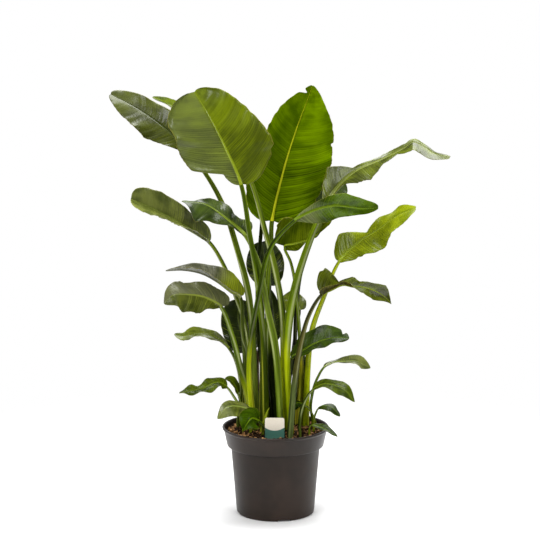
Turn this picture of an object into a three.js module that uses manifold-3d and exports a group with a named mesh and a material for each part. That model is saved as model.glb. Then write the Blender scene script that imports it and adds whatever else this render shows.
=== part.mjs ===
// Potted bird of paradise: broad ribbed leaves on long stalks, in a tapered plastic nursery pot.
// Millimetres, +Z up. The origin is the middle of the pot's underside, and -Y is the front.
import * as THREE from "three";
import { mergeVertices } from "three/addons/utils/BufferGeometryUtils.js";
import Module from "manifold-3d";

const wasm = await Module();
wasm.setup();

// ---- Driving dimensions -------------------------------------------------------------------
const GAP = 0.3; // clearance between pieces that touch
const SIDES = 44; // facets round the pot

const POT_HEIGHT = 199;
const RIM_RADIUS = 120; // outside of the rolled rim
const WALL = 2;
const COLLAR_Z = 155; // lower edge of the collar band
const COLLAR_RADIUS = 109; // outside of the band at that edge
const BODY_TOP_RADIUS = 100.5; // tapered body just under the band
const BODY_FOOT_RADIUS = 88; // body where it turns under
const FLOOR_Z = 7; // top of the pot's floor
const PAD_RADIUS = 30; // flat pad in the middle of the underside
const FOOT_RING_RADIUS = 74; // inside of the ring the pot stands on
const RECESS = 3.5; // height of the underside's recess
const SLOT_COUNT = 4; // drainage slots through the foot ring
const SLOT_WIDTH = 30;
const SLOT_TURN = 13; // degrees from the front to the first slot
const DRAIN_COUNT = 6;
const DRAIN_RADIUS = 5;
const DRAIN_RING = 52;

const SOIL_EDGE_Z = 187; // soil at the wall
const SOIL_MOUND = 9; // how much the middle stands higher
const SOIL_RINGS = 7;
const SOIL_RAYS = 32;
const CRUMB_HEIGHT = 2.2; // relief of the bark pieces
const STEM_HOLE_Z = 158; // bottom of the holes that the stems stand in
const STEM_FOOT_Z = 159; // lower end of every stem
const STEM_EXIT_Z = 202; // a stem stands straight up to here
const HOLE_CLEARANCE = 0.6;

const BLADE_THICKNESS = 0.9;
const RIB_DEPTH = 1.5; // depth of the midrib over its half width
const SHEATH_SHARE = 0.35; // part of a stalk that widens into its sheath
const SHEATH_FLATNESS = 1.5; // width of a sheath over its thickness

const TAG_WIDTH = 43;
const TAG_THICKNESS = 1;
const TAG_TOP_Z = 233;
const TAG_SHOULDER_Z = 192;
const TAG_CORNER = 5;
const TAG_STAKE_WIDTH = 14;
const TAG_FOOT_Z = 130;
const TAG_PLACE = [-2, -88];

// ---- Materials ----------------------------------------------------------------------------
const POT_PLASTIC = new THREE.MeshStandardMaterial({ color: 0x3b3836, roughness: 0.45, metalness: 0 });
const POTTING_MIX = new THREE.MeshStandardMaterial({ color: 0x4a3020, roughness: 0.95, metalness: 0 });
const LEAF_GREEN = new THREE.MeshStandardMaterial({ color: 0x4c6b1e, roughness: 0.42, metalness: 0 });
const DRY_BROWN = new THREE.MeshStandardMaterial({ color: 0x8a7458, roughness: 0.85, metalness: 0 });
const TAG_CREAM = new THREE.MeshStandardMaterial({ color: 0xece4d2, roughness: 0.5, metalness: 0 });

// ---- The leaves ---------------------------------------------------------------------------
// Each leaf is one piece: a stalk from its foot in the soil to its neck, then the blade.
//   foot         where it stands, as x and y
//   stalk, rib   points of its centre line: the last stalk point is the neck, the last rib point the tip
//   thick        half width of the stalk at the soil, above its sheath and at the neck
//   left, right  half widths of the blade from neck to tip, seen on its upper side with the tip up
//   face         directions that the upper side looks in, from neck to tip
//   fold         degrees that the left and the right half are lifted, from neck to tip
//   curl         degrees that each half bends on towards its edge
//   wave         height, number and phase of the ripples along the edge
//   lobe         how far the edges lie behind the midrib at the neck, and ahead of it at the tip
//   shape        where along the rib it is widest, and how blunt its tip is (less is blunter)
//   rows         cross sections along the stalk and along the blade
const LEAVES = [
  {"name": "leaf_01", "foot": [-34, 46], "thick": [10, 6, 4.5], "rows": [4, 12],
   "stalk": [[-58, 32, 490], [-82, 26, 596], [-119, 22, 707], [-172, 22, 792]],
   "rib": [[-229, 24, 856], [-296, 34, 906], [-366, 44, 943]],
   "left": [22, 40, 46, 46, 42], "right": [46, 48, 43, 38], "shape": [0.38, 0.5],
   "face": [[-0.5, -0.6, 0.6], [-0.2, -0.8, 0.6], [-0.2, -0.7, 0.7]],
   "fold": [[10], [10]], "curl": [[0, -10], [0, -10]], "wave": [3, 3, 0]},
  {"name": "leaf_02", "foot": [19, -32], "thick": [11, 7, 5], "rows": [4, 9],
   "stalk": [[16, -20, 452], [-1, -22, 560], [-21, -16, 637], [-56, 6, 756]],
   "rib": [[-102, 60, 819], [-170, 115, 877], [-273, 160, 925]],
   "left": [44, 48, 44], "right": [44, 48, 44],
   "face": [[-0.2, -0.1, 1], [-0.1, -0.15, 1], [-0.1, -0.1, 1]],
   "fold": [[12], [12]], "wave": [3, 3, 0.4]},
  {"name": "leaf_03", "foot": [-26, -4], "thick": [13, 7, 5], "rows": [4, 13],
   "stalk": [[-28, -26, 422], [-41, -50, 549], [-56, -64, 640], [-75, -68, 754]],
   "rib": [[-103, -78, 836], [-141, -86, 909], [-173, -80, 956]],
   "left": [20, 36, 88, 92, 93, 92, 86], "right": [104, 112, 106, 84, 76, 76, 66], "shape": [0.42, 0.5],
   "face": [[0.1, -1, 0.2], [0, -1, 0.25], [0, -0.8, 0.5]],
   "fold": [[4], [4]], "wave": [6, 2.5, 0.3]},
  {"name": "leaf_04", "foot": [4, 12], "thick": [11, 6.5, 5], "rows": [4, 13],
   "stalk": [[-15, 16, 404], [-17, 30, 527], [-10, 42, 605], [-8, 50, 658]],
   "rib": [[17, 58, 768], [47, 64, 864], [75, 60, 940], [82, 52, 962]],
   "left": [88, 100, 96, 80, 56], "right": [78, 82, 70, 54, 40], "shape": [0.45, 0.6],
   "face": [[0, 1, 0.1], [0.1, 1, 0], [0.1, 0.9, 0.2]],
   "fold": [[5], [5]], "wave": [4, 3, 0]},
  {"name": "leaf_05", "foot": [-12, 40], "thick": [8, 5, 4], "rows": [4, 6],
   "stalk": [[-38, 50, 409], [-39, 60, 564], [-35, 64, 602], [-28, 72, 692]],
   "rib": [[-28, 98, 745], [-35, 135, 799], [-42, 175, 838]],
   "left": [42], "right": [42],
   "face": [[0, -0.9, 0.4], [0, -0.7, 0.7], [0, -0.4, 0.9]],
   "fold": [[15], [15]], "wave": [2, 3, 0.1]},
  {"name": "leaf_06", "foot": [-54, 50], "thick": [9, 5.5, 4], "rows": [4, 11],
   "stalk": [[-65, 42, 401], [-93, 34, 500], [-115, 24, 560], [-148, 2, 618]],
   "rib": [[-199, -24, 654], [-257, -58, 695], [-309, -92, 730]],
   "left": [36, 46, 46, 40], "right": [16, 24, 40, 46, 46, 42], "shape": [0.38, 0.55],
   "face": [[-0.1, -0.75, 0.7], [-0.1, -0.75, 0.65], [-0.1, -0.75, 0.7]],
   "fold": [[60, 58, 50, 44], [40]], "wave": [2, 3, 0]},
  {"name": "leaf_07", "foot": [12, -60], "thick": [10, 7, 4.5], "rows": [4, 12],
   "stalk": [[1, -56, 385], [-15, -44, 485], [-37, -34, 573], [-67, -28, 637]],
   "rib": [[-107, -26, 674], [-155, -30, 707], [-206, -38, 714]],
   "left": [10, 18, 30, 32, 18, 10], "right": [44, 40, 14, 30, 34, 20, 12],
   "face": [[-0.3, -0.5, 0.8], [-0.2, -0.4, 0.9], [0, -0.3, 1]],
   "fold": [[-10, -35, -30], [30, 10, 20]], "wave": [4, 3, 0.2]},
  {"name": "leaf_08", "foot": [40, -46], "thick": [12, 9, 6], "rows": [5, 14],
   "stalk": [[26, -50, 383], [41, -30, 509], [81, 0, 636], [110, 4, 704]],
   "rib": [[153, -8, 759], [202, -26, 793], [257, -50, 825], [301, -72, 847], [336, -94, 834], [370, -114, 819]],
   "left": [34, 40, 14, 12, 16, 20, 18], "right": [18, 44, 52, 20, 14, 26, 22], "shape": [0.38, 0.6],
   "face": [[-0.5, -0.4, 0.7], [-0.2, -0.4, 0.9], [-0.1, -0.2, 0.9], [0, -0.3, 0.9], [0.2, -0.4, 0.9]],
   "fold": [[50, 30, 20, 20], [10, -20, -10, -20]], "wave": [3, 3, 0.1]},
  {"name": "leaf_09", "foot": [46, 64], "thick": [8, 5, 4], "rows": [4, 7],
   "stalk": [[54, 58, 374], [62, 58, 523], [71, 62, 625], [75, 64, 677]],
   "rib": [[96, 76, 700], [123, 91, 723], [156, 105, 743]],
   "left": [44], "right": [44],
   "face": [[-0.2, -0.6, 0.8], [0, -0.6, 0.8]],
   "fold": [[20], [-25]], "wave": [4, 4, 0]},
  {"name": "leaf_10", "foot": [-50, -24], "thick": [9, 6.5, 4.5], "rows": [5, 10],
   "stalk": [[-59, -40, 359], [-39, -60, 498], [-10, -74, 618], [42, -88, 679]],
   "rib": [[91, -102, 707], [149, -122, 717], [216, -140, 712]],
   "left": [20, 26, 28, 22], "right": [26, 36, 36, 22],
   "face": [[-0.2, -0.4, 0.9], [0, -0.5, 0.8], [0.2, -0.5, 0.8]],
   "fold": [[5], [5]], "wave": [3, 2, 0]},
  {"name": "leaf_11", "foot": [54, 30], "thick": [7, 4.5, 3], "rows": [4, 9],
   "stalk": [[57, 28, 334], [45, 8, 510], [32, -10, 590], [17, -20, 639]],
   "rib": [[36, -32, 649], [71, -44, 663], [101, -54, 672], [129, -60, 682]],
   "left": [36, 34], "right": [30, 38, 38], "lobe": [-0.5, 0.2],
   "face": [[-0.1, -0.1, 1], [0, -0.1, 1], [0, 0, 1]],
   "fold": [[10], [-50]], "curl": [[0], [-20]], "wave": [3, 3, 0]},
  {"name": "leaf_12", "foot": [-18, 66], "thick": [8, 5, 4], "rows": [4, 9],
   "stalk": [[-20, 76, 380], [-17, 88, 471], [-13, 98, 502]],
   "rib": [[-17, 108, 533], [-26, 120, 568], [-31, 130, 599]],
   "left": [40, 46, 36], "right": [34, 42, 40], "shape": [0.45, 0.6],
   "face": [[0, -1, 0.1], [0, -1, 0.2]],
   "fold": [[5], [5]], "wave": [4, 3, 0.3]},
  {"name": "leaf_13", "foot": [70, 16], "thick": [9.5, 5.5, 3.5], "rows": [4, 13],
   "stalk": [[72, 22, 322], [82, 22, 414], [111, 14, 498], [141, 0, 573]],
   "rib": [[180, -16, 621], [225, -36, 654], [267, -58, 684], [305, -80, 705]],
   "left": [40, 40, 18, 22, 30, 26], "right": [18, 34, 50, 50, 36, 26],
   "face": [[-0.4, -0.7, 0.6], [-0.2, -0.7, 0.7], [-0.1, -0.5, 0.8], [0, -0.4, 0.9]],
   "fold": [[20, 10, 20], [-5, -20, -10]], "wave": [5, 3, 0.3]},
  {"name": "leaf_14", "foot": [32, -78], "thick": [8, 6.5, 3.5], "rows": [5, 13],
   "stalk": [[41, -72, 309], [54, -66, 394], [74, -60, 465], [102, -62, 511]],
   "rib": [[128, -72, 529], [162, -86, 536], [190, -98, 539], [226, -116, 526], [250, -130, 504]],
   "left": [40, 42, 16, 26, 36, 24], "right": [40, 46, 10, 22, 34, 24],
   "face": [[-0.5, -0.3, 0.8], [-0.3, -0.2, 0.9], [0, -0.4, 0.9], [0.2, -0.6, 0.8]],
   "fold": [[10], [85, 75, -10, -20]], "wave": [3, 3, 0.3]},
  {"name": "leaf_15", "foot": [-74, 40], "thick": [8, 5, 4], "rows": [4, 11],
   "stalk": [[-69, 22, 323], [-74, 6, 429], [-79, -6, 495]],
   "rib": [[-112, -8, 519], [-164, 2, 542], [-229, 18, 551], [-250, 22, 545]],
   "left": [40, 46, 44, 30], "right": [52, 46, 28, 16, 8],
   "face": [[0, -0.75, 0.75], [0, -0.7, 0.75]],
   "fold": [[56, 58, 50], [42, 36, 26]], "wave": [3, 3, 0.2]},
  {"name": "leaf_16", "foot": [-56, 4], "thick": [11, 8, 4.5], "rows": [5, 12],
   "stalk": [[-62, -6, 271], [-77, -16, 330], [-97, -32, 416], [-121, -48, 481]],
   "rib": [[-155, -62, 506], [-198, -86, 515], [-229, -106, 513], [-245, -114, 494]],
   "left": [36, 44, 46, 40, 20], "right": [56, 52, 40, 36, 32, 16], "lobe": [-0.6, 0.25],
   "face": [[0.1, -0.4, 0.9], [0, -0.35, 0.95], [0, -0.35, 0.95], [-0.4, -0.3, 0.9]],
   "fold": [[-30, -40, -35], [25, 15, 15]], "curl": [[0], [10]], "wave": [3, 3, 0.1]},
  {"name": "leaf_17", "foot": [-40, 82], "thick": [7, 4.5, 4], "rows": [3, 9],
   "stalk": [[-59, 104, 292], [-66, 118, 344]],
   "rib": [[-77, 128, 382], [-86, 136, 420], [-83, 138, 462]],
   "left": [46], "right": [46], "shape": [0.45, 0.6],
   "face": [[0, -1, 0.1], [0, -1, 0.2]],
   "fold": [[5], [5]], "wave": [5, 3, 0]},
  {"name": "leaf_18", "foot": [-84, 14], "thick": [7, 4.5, 3], "rows": [3, 9],
   "stalk": [[-78, 14, 289], [-90, 14, 347], [-105, 16, 374]],
   "rib": [[-139, 24, 397], [-173, 38, 401], [-203, 52, 395], [-230, 66, 399]],
   "left": [14, 18, 20, 16], "right": [14, 18, 20, 18],
   "face": [[0, -0.5, 0.8], [0, -0.4, 0.9]],
   "fold": [[-10], [35, 20, 20]], "wave": [5, 2.5, 0.1]},
  {"name": "leaf_19", "foot": [-72, -28], "thick": [4.5, 3.5, 2.5], "rows": [3, 9],
   "stalk": [[-73, -28, 238], [-84, -32, 263], [-104, -40, 295]],
   "rib": [[-127, -52, 312], [-161, -76, 304], [-211, -104, 299]],
   "left": [16, 18, 16, 12], "right": [24, 22, 18, 14],
   "face": [[0.2, -0.4, 0.9], [0, -0.4, 0.9], [-0.1, -0.4, 0.9]],
   "fold": [[-10], [25]], "wave": [5, 3, 0]},
  {"name": "leaf_20", "foot": [-56, -52], "thick": [3.5, 3, 2.5], "rows": [2, 8],
   "stalk": [[-52, -54, 226], [-56, -60, 248]],
   "rib": [[-79, -72, 261], [-105, -90, 264], [-125, -104, 242]],
   "left": [22, 26, 22], "right": [14, 16, 14],
   "face": [[0.1, -0.6, 0.8], [0, -0.6, 0.8], [-0.6, -0.5, 0.7]],
   "fold": [[-20], [20]], "wave": [2, 2, 0]},
  {"name": "leaf_21", "foot": [-28, -68], "thick": [3.5, 3, 2.5], "rows": [2, 8],
   "stalk": [[-28, -74, 216], [-38, -86, 232]],
   "rib": [[-54, -98, 244], [-68, -110, 236], [-74, -120, 215]],
   "left": [24, 30, 22], "right": [20, 24, 18],
   "face": [[0, -0.9, 0.5], [-0.2, -0.9, 0.3], [-0.4, -0.9, 0.1]],
   "fold": [[-8], [-8]], "wave": [2, 2, 0.3]},
  {"name": "leaf_22", "foot": [36, 36], "thick": [7, 4.5, 3.5], "rows": [3, 9],
   "stalk": [[43, 30, 240], [42, 12, 311], [37, -2, 355]],
   "rib": [[59, -8, 373], [95, -14, 395], [132, -20, 406], [162, -26, 406]],
   "left": [24, 34, 36, 32], "right": [16, 30, 34, 28],
   "face": [[-0.3, -0.4, 0.9], [-0.1, -0.5, 0.8], [0.1, -0.5, 0.8]],
   "fold": [[25], [-5]], "wave": [3, 3, 0]},
  {"name": "leaf_23", "foot": [84, 30], "thick": [5, 3.5, 2.5], "rows": [3, 9],
   "stalk": [[85, 28, 235], [90, 26, 278], [97, 26, 303], [110, 30, 327]],
   "rib": [[132, 38, 339], [158, 50, 342], [185, 64, 337], [219, 78, 315]],
   "left": [16, 10, 14, 18, 14], "right": [14, 8, 20, 26, 18],
   "face": [[-0.3, -0.4, 0.9], [0, -0.5, 0.8], [0.2, -0.5, 0.8]],
   "fold": [[30, 20, 10], [10, -10, -10]], "wave": [2, 2, 0]},
  {"name": "leaf_24", "foot": [54, -70], "thick": [5.5, 4, 2.5], "rows": [3, 9],
   "stalk": [[53, -68, 215], [57, -66, 249], [67, -66, 276], [81, -66, 296]],
   "rib": [[104, -76, 313], [128, -92, 318], [152, -108, 309], [174, -122, 284]],
   "left": [14, 18, 16, 14], "right": [12, 18, 20, 16],
   "face": [[-0.3, -0.3, 0.9], [0, -0.5, 0.8], [0.4, -0.5, 0.7]],
   "fold": [[30, 10, 0], [10, -15, -15]], "wave": [2, 2, 0.5]},
  {"name": "leaf_25", "foot": [86, -16], "thick": [3.5, 2.6, 2], "rows": [2, 8],
   "stalk": [[86, -18, 216], [89, -22, 230], [97, -28, 247]],
   "rib": [[113, -36, 255], [127, -44, 251], [144, -54, 234]],
   "left": [12, 16, 12], "right": [12, 16, 12],
   "face": [[0, -0.3, 0.9], [0.2, -0.4, 0.9], [0.4, -0.4, 0.8]],
   "fold": [[-10], [-10]], "wave": [1, 2, 0]},
  {"name": "leaf_26", "foot": [92, 6], "thick": [3.5, 2.6, 2], "rows": [2, 8],
   "stalk": [[88, 2, 214], [76, -4, 239], [60, -8, 251]],
   "rib": [[49, -10, 254], [41, -12, 249], [35, -14, 238]],
   "left": [12, 16, 12], "right": [12, 16, 12],
   "face": [[0, -0.3, 0.9], [-0.2, -0.4, 0.9], [-0.4, -0.4, 0.8]],
   "fold": [[-10], [-10]], "wave": [1, 2, 0]},
  {"name": "leaf_27", "foot": [76, -48], "thick": [3, 2.4, 2], "rows": [1, 8],
   "stalk": [[79, -52, 212]],
   "rib": [[94, -60, 215], [114, -72, 211], [136, -86, 200]],
   "left": [10, 12, 8], "right": [8, 10, 8],
   "face": [[0, -0.3, 0.9], [0.1, -0.4, 0.9], [0.2, -0.4, 0.9]],
   "fold": [[10], [10]], "wave": [1, 2, 0]},
  {"name": "leaf_28", "foot": [22, 78], "thick": [7, 4, 3], "rows": [4, 8],
   "stalk": [[38, 100, 328], [47, 120, 395], [56, 134, 439]],
   "rib": [[51, 140, 452], [38, 148, 469], [14, 158, 478]],
   "left": [32], "right": [26],
   "face": [[0, -0.8, 0.5]],
   "fold": [[0], [0]], "wave": [3, 2, 0]},
  {"name": "leaf_29", "foot": [4, 84], "thick": [7, 4, 3], "rows": [4, 8],
   "stalk": [[8, 94, 330], [3, 102, 375]],
   "rib": [[-1, 110, 416], [-6, 118, 456], [-11, 122, 490]],
   "left": [18, 22, 18], "right": [14, 18, 14],
   "face": [[0, -1, 0.2]],
   "fold": [[10], [10]], "wave": [2, 2, 0]},
  {"name": "leaf_30", "foot": [-72, -9], "thick": [4, 3.2, 2.4], "rows": [3, 8],
   "stalk": [[-74, -10, 236], [-80, -12, 262], [-84, -14, 276]],
   "rib": [[-91, -16, 296], [-100, -18, 308], [-113, -22, 312]],
   "left": [12, 16, 14], "right": [16, 18, 14],
   "face": [[0.6, -0.3, 0.7], [0.2, -0.4, 0.9]],
   "fold": [[10], [10]], "wave": [1, 2, 0]},
  {"name": "leaf_31", "foot": [70, 60], "thick": [5, 3.5, 2.5], "rows": [3, 7],
   "stalk": [[70, 66, 250], [66, 76, 282]],
   "rib": [[62, 84, 302], [58, 92, 326], [52, 102, 348]],
   "left": [16, 20, 16], "right": [16, 20, 16],
   "face": [[0, -1, 0.2]],
   "fold": [[10], [10]], "wave": [2, 2, 0]},
];

// ---- Small helpers ------------------------------------------------------------------------
const vector = (values) => new THREE.Vector3(...values);

// A value from a list whose entries are spread evenly over 0 to 1.
function spread(list, share) {
  if (list.length === 1) return list[0];
  const place = THREE.MathUtils.clamp(share, 0, 1) * (list.length - 1);
  const index = Math.min(Math.floor(place), list.length - 2);
  return THREE.MathUtils.lerp(list[index], list[index + 1], place - index);
}

function spreadDirection(list, share) {
  return vector([0, 1, 2].map((axis) => spread(list.map((entry) => entry[axis]), share))).normalize();
}

// A centre line that can be read at any length along it.
class CentreLine {
  constructor(points) {
    const curve = new THREE.CatmullRomCurve3(points, false, "centripetal");
    this.stepsPerPoint = 12;
    this.places = curve.getPoints((points.length - 1) * this.stepsPerPoint);
    this.lengths = [0];
    for (let i = 1; i < this.places.length; i += 1) {
      this.lengths.push(this.lengths[i - 1] + this.places[i].distanceTo(this.places[i - 1]));
    }
    this.length = this.lengths[this.lengths.length - 1];
  }

  lengthAtPoint(index) {
    return this.lengths[index * this.stepsPerPoint];
  }

  at(length) {
    const wanted = THREE.MathUtils.clamp(length, 0, this.length);
    let i = 1;
    while (i < this.lengths.length - 1 && this.lengths[i] < wanted) i += 1;
    const share = (wanted - this.lengths[i - 1]) / (this.lengths[i] - this.lengths[i - 1]);
    return this.places[i - 1].clone().lerp(this.places[i], share);
  }

  direction(length, reach) {
    return this.at(length + reach).sub(this.at(length - reach)).normalize();
  }
}

// Skins rows of points, all with the same even count, and closes both ends with flat strips.
// The first half of a row is its upper side and the second half comes back underneath.
function loft(rows) {
  const count = rows[0].length;
  const half = count / 2;
  const positions = rows.flat().flatMap((point) => [point.x, point.y, point.z]);
  const faces = [];
  for (let row = 0; row + 1 < rows.length; row += 1) {
    for (let k = 0; k < count; k += 1) {
      const a = row * count + k;
      const b = row * count + ((k + 1) % count);
      const c = a + count;
      const d = b + count;
      if (k < half) faces.push(a, b, d, a, d, c); // both sides are split along the same diagonals
      else faces.push(a, b, c, b, d, c);
    }
  }
  const last = (rows.length - 1) * count;
  for (let k = 0; k + 1 < half; k += 1) {
    const top = k;
    const under = count - 1 - k;
    faces.push(top, under - 1, top + 1, top, under, under - 1);
    faces.push(last + top, last + top + 1, last + under - 1, last + top, last + under - 1, last + under);
  }
  const geometry = new THREE.BufferGeometry();
  geometry.setAttribute("position", new THREE.Float32BufferAttribute(positions, 3));
  geometry.setIndex(faces);
  geometry.computeVertexNormals();
  return geometry;
}

function toSolid(geometry) {
  const bare = geometry.clone();
  bare.deleteAttribute("normal");
  bare.deleteAttribute("uv");
  const merged = mergeVertices(bare, 1e-4);
  const mesh = new wasm.Mesh({
    numProp: 3,
    vertProperties: Float32Array.from(merged.attributes.position.array),
    triVerts: Uint32Array.from(merged.index.array),
  });
  return new wasm.Manifold(mesh);
}

function fromSolid(solid) {
  const { vertProperties, triVerts } = solid.getMesh();
  const geometry = new THREE.BufferGeometry();
  geometry.setAttribute("position", new THREE.Float32BufferAttribute(vertProperties, 3));
  geometry.setIndex(Array.from(triVerts));
  geometry.computeVertexNormals();
  return geometry;
}

function turned(profile, segments) {
  const points = profile.map(([radius, height]) => new THREE.Vector2(radius, height));
  const geometry = new THREE.LatheGeometry(points, segments);
  geometry.rotateX(Math.PI / 2);
  return geometry;
}

// ---- A leaf -------------------------------------------------------------------------------
const HALF_POINTS = [-1, -0.62, -0.3, 0, 0.3, 0.62, 1]; // across a blade: edge, rib sides, edge
const RIB_SIDES = [2, 4];
const RIB_CENTRE = 3;
const STALK_POINTS = 14;
const NECK_END = 0.996; // the last cross section lies just short of the tip

// Half widths of a stalk across and along its facing direction; share runs from soil to neck.
function stalkSize([footWidth, midWidth, neckWidth], share) {
  const sheath = Math.max(0, 1 - share / SHEATH_SHARE);
  const above = Math.max(0, share - SHEATH_SHARE) / (1 - SHEATH_SHARE);
  const width = midWidth + (footWidth - midWidth) * sheath ** 0.8 + (neckWidth - midWidth) * above;
  return [width, width / (1 + (SHEATH_FLATNESS - 1) * Math.sqrt(sheath))];
}

// The frame of a cross section: along the leaf, out of its upper side, and to its right.
function sectionFrame(along, facing) {
  const up = facing.clone().addScaledVector(along, -facing.dot(along)).normalize();
  return { along, up, right: along.clone().cross(up) };
}

function stalkRow(centre, frame, [width, depth]) {
  return Array.from({ length: STALK_POINTS }, (_, k) => {
    const angle = Math.PI - ((k + 0.5) * 2 * Math.PI) / STALK_POINTS;
    return centre
      .clone()
      .addScaledVector(frame.right, width * Math.cos(angle))
      .addScaledVector(frame.up, depth * Math.sin(angle));
  });
}

// Width of the blade as a share of its half width, from the neck at 0 to the tip at 1.
function outline(share, [widest, bluntness]) {
  if (share < widest) return Math.sqrt(1 - (1 - share / widest) ** 2.2);
  return Math.max(0, 1 - ((share - widest) / (1 - widest)) ** 2.4) ** bluntness;
}

function bladeRow(leaf, centre, frame, share) {
  const outlineShare = outline(share, leaf.shape ?? [0.38, 0.75]);
  const ribHalf = leaf.thick[2] * 0.75 * (1 - share) ** 0.8 + 0.5;
  const [waveHeight, waveCount, wavePhase] = leaf.wave;
  const upper = [];
  const lower = [];
  HALF_POINTS.forEach((across, k) => {
    const side = across < 0 ? 0 : 1;
    const sign = across < 0 ? -1 : 1;
    const halfWidth = Math.max(outlineShare * spread(side ? leaf.right : leaf.left, share), ribHalf * 1.15);
    const reach = RIB_SIDES.includes(k) ? Math.min(0.3, ribHalf / halfWidth) : Math.abs(across);
    const fold = THREE.MathUtils.degToRad(spread(leaf.fold[side], share));
    const curl = THREE.MathUtils.degToRad(leaf.curl ? spread(leaf.curl[side], share) : 0) || 1e-6;
    const outward = (Math.sin(fold + curl * reach) - Math.sin(fold)) / curl;
    const lifted = (Math.cos(fold) - Math.cos(fold + curl * reach)) / curl;
    const phase = waveCount * share + wavePhase + (side ? 0 : 0.37);
    const ripple = waveHeight * reach ** 2 * Math.sqrt(Math.sin(Math.PI * share)) * Math.sin(2 * Math.PI * phase);
    const swept = spread(leaf.lobe ?? [-0.25, 0.3], share) * halfWidth * reach;
    const point = centre
      .clone()
      .addScaledVector(frame.right, sign * outward * halfWidth)
      .addScaledVector(frame.up, lifted * halfWidth + ripple)
      .addScaledVector(frame.along, swept);
    const inward = frame.up
      .clone()
      .multiplyScalar(Math.cos(fold + curl * reach))
      .addScaledVector(frame.right, -sign * Math.sin(fold + curl * reach));
    let depth = BLADE_THICKNESS;
    if (k === RIB_CENTRE) depth += ribHalf * RIB_DEPTH;
    if (RIB_SIDES.includes(k)) depth += ribHalf * 0.9;
    upper.push(point);
    lower.unshift(point.clone().addScaledVector(inward, -Math.min(depth, Math.max(halfWidth, BLADE_THICKNESS))));
  });
  return [...upper, ...lower];
}

// The direction from a leaf's foot towards its neck, level with the ground.
function leanOf(leaf) {
  const neck = leaf.stalk[leaf.stalk.length - 1];
  return new THREE.Vector3(neck[0] - leaf.foot[0], neck[1] - leaf.foot[1], 0).normalize();
}

function leafRows(leaf) {
  const foot = new THREE.Vector3(...leaf.foot, STEM_FOOT_Z);
  const exit = new THREE.Vector3(...leaf.foot, STEM_EXIT_Z);
  const line = new CentreLine([exit, ...leaf.stalk.map(vector), ...leaf.rib.map(vector)]);
  const neck = line.lengthAtPoint(leaf.stalk.length);
  const [stalkRows, bladeRows] = leaf.rows;
  const upright = sectionFrame(new THREE.Vector3(0, 0, 1), leanOf(leaf).negate());
  const rows = [foot, exit].map((point) => stalkRow(point, upright, stalkSize(leaf.thick, 0)));
  for (let i = 1; i <= stalkRows; i += 1) {
    const share = i / stalkRows;
    const length = neck * share;
    const facing = upright.up.clone().lerp(spreadDirection(leaf.face, 0), share);
    const frame = sectionFrame(line.direction(length, 3), facing);
    rows.push(stalkRow(line.at(length), frame, stalkSize(leaf.thick, share)));
  }
  const bladeLength = line.length - neck;
  for (let i = 1; i <= bladeRows; i += 1) {
    const even = i / bladeRows;
    const share = Math.min(NECK_END, 0.35 * even + 0.65 * (0.5 - 0.5 * Math.cos(Math.PI * even)));
    const length = neck + bladeLength * share;
    const frame = sectionFrame(line.direction(length, bladeLength * 0.02), spreadDirection(leaf.face, share));
    rows.push(bladeRow(leaf, line.at(length), frame, share));
  }
  return rows;
}

// ---- Dry sheath and young shoot -----------------------------------------------------------
const DRY_SHEATH = { foot: [-44, 26], half: 7, top: [-42, 20, 366], thickness: 1.2, bow: 5, rows: 6 };
const UPRIGHT = { along: new THREE.Vector3(0, 0, 1), up: new THREE.Vector3(0, -1, 0), right: new THREE.Vector3(1, 0, 0) };

// A papery husk: a bowed strip that narrows to its torn top.
function drySheathRows() {
  const { foot, half, top, thickness, bow, rows } = DRY_SHEATH;
  const halfCount = STALK_POINTS / 2;
  return Array.from({ length: rows + 2 }, (_, row) => {
    const share = Math.max(0, row - 1) / rows;
    const base = new THREE.Vector3(...foot, row === 0 ? STEM_FOOT_Z : STEM_EXIT_Z);
    const centre = base.lerp(vector(top), share);
    const width = half * (1 - 0.6 * share ** 2);
    const strip = Array.from({ length: halfCount }, (_unused, k) => {
      const across = (2 * k) / (halfCount - 1) - 1;
      return centre.clone().add(new THREE.Vector3(width * across, bow * across ** 2, 0));
    });
    const back = strip.map((point) => point.clone().add(new THREE.Vector3(0, thickness, 0)));
    return [...strip, ...back.reverse()];
  });
}

const SHOOT = { foot: [-30, -50], path: [[-27, -52, 215], [-20, -54, 240], [-14, -55, 254]], half: 5, rows: 6 };

// The outline of the hole round the husk: an oval that clears both its bowed edges.
function drySheathHole() {
  const { foot, half, bow } = DRY_SHEATH;
  return stalkRow(new THREE.Vector3(foot[0], foot[1] + bow / 2, 0), UPRIGHT, [half + 2, bow + 1.5]);
}

// A rolled young leaf: a round spear that tapers to its point.
function shootRows() {
  const exit = new THREE.Vector3(...SHOOT.foot, STEM_EXIT_Z);
  const line = new CentreLine([exit, ...SHOOT.path.map(vector)]);
  const foot = new THREE.Vector3(...SHOOT.foot, STEM_FOOT_Z);
  const rows = [stalkRow(foot, UPRIGHT, [SHOOT.half, SHOOT.half])];
  for (let i = 0; i <= SHOOT.rows; i += 1) {
    const share = i / SHOOT.rows;
    const frame = i ? sectionFrame(line.direction(line.length * share, 2), UPRIGHT.up) : UPRIGHT;
    const half = SHOOT.half * (1 - share ** 1.6) + 0.6 * share;
    rows.push(stalkRow(line.at(line.length * share), frame, [half, half]));
  }
  return rows;
}

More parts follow.
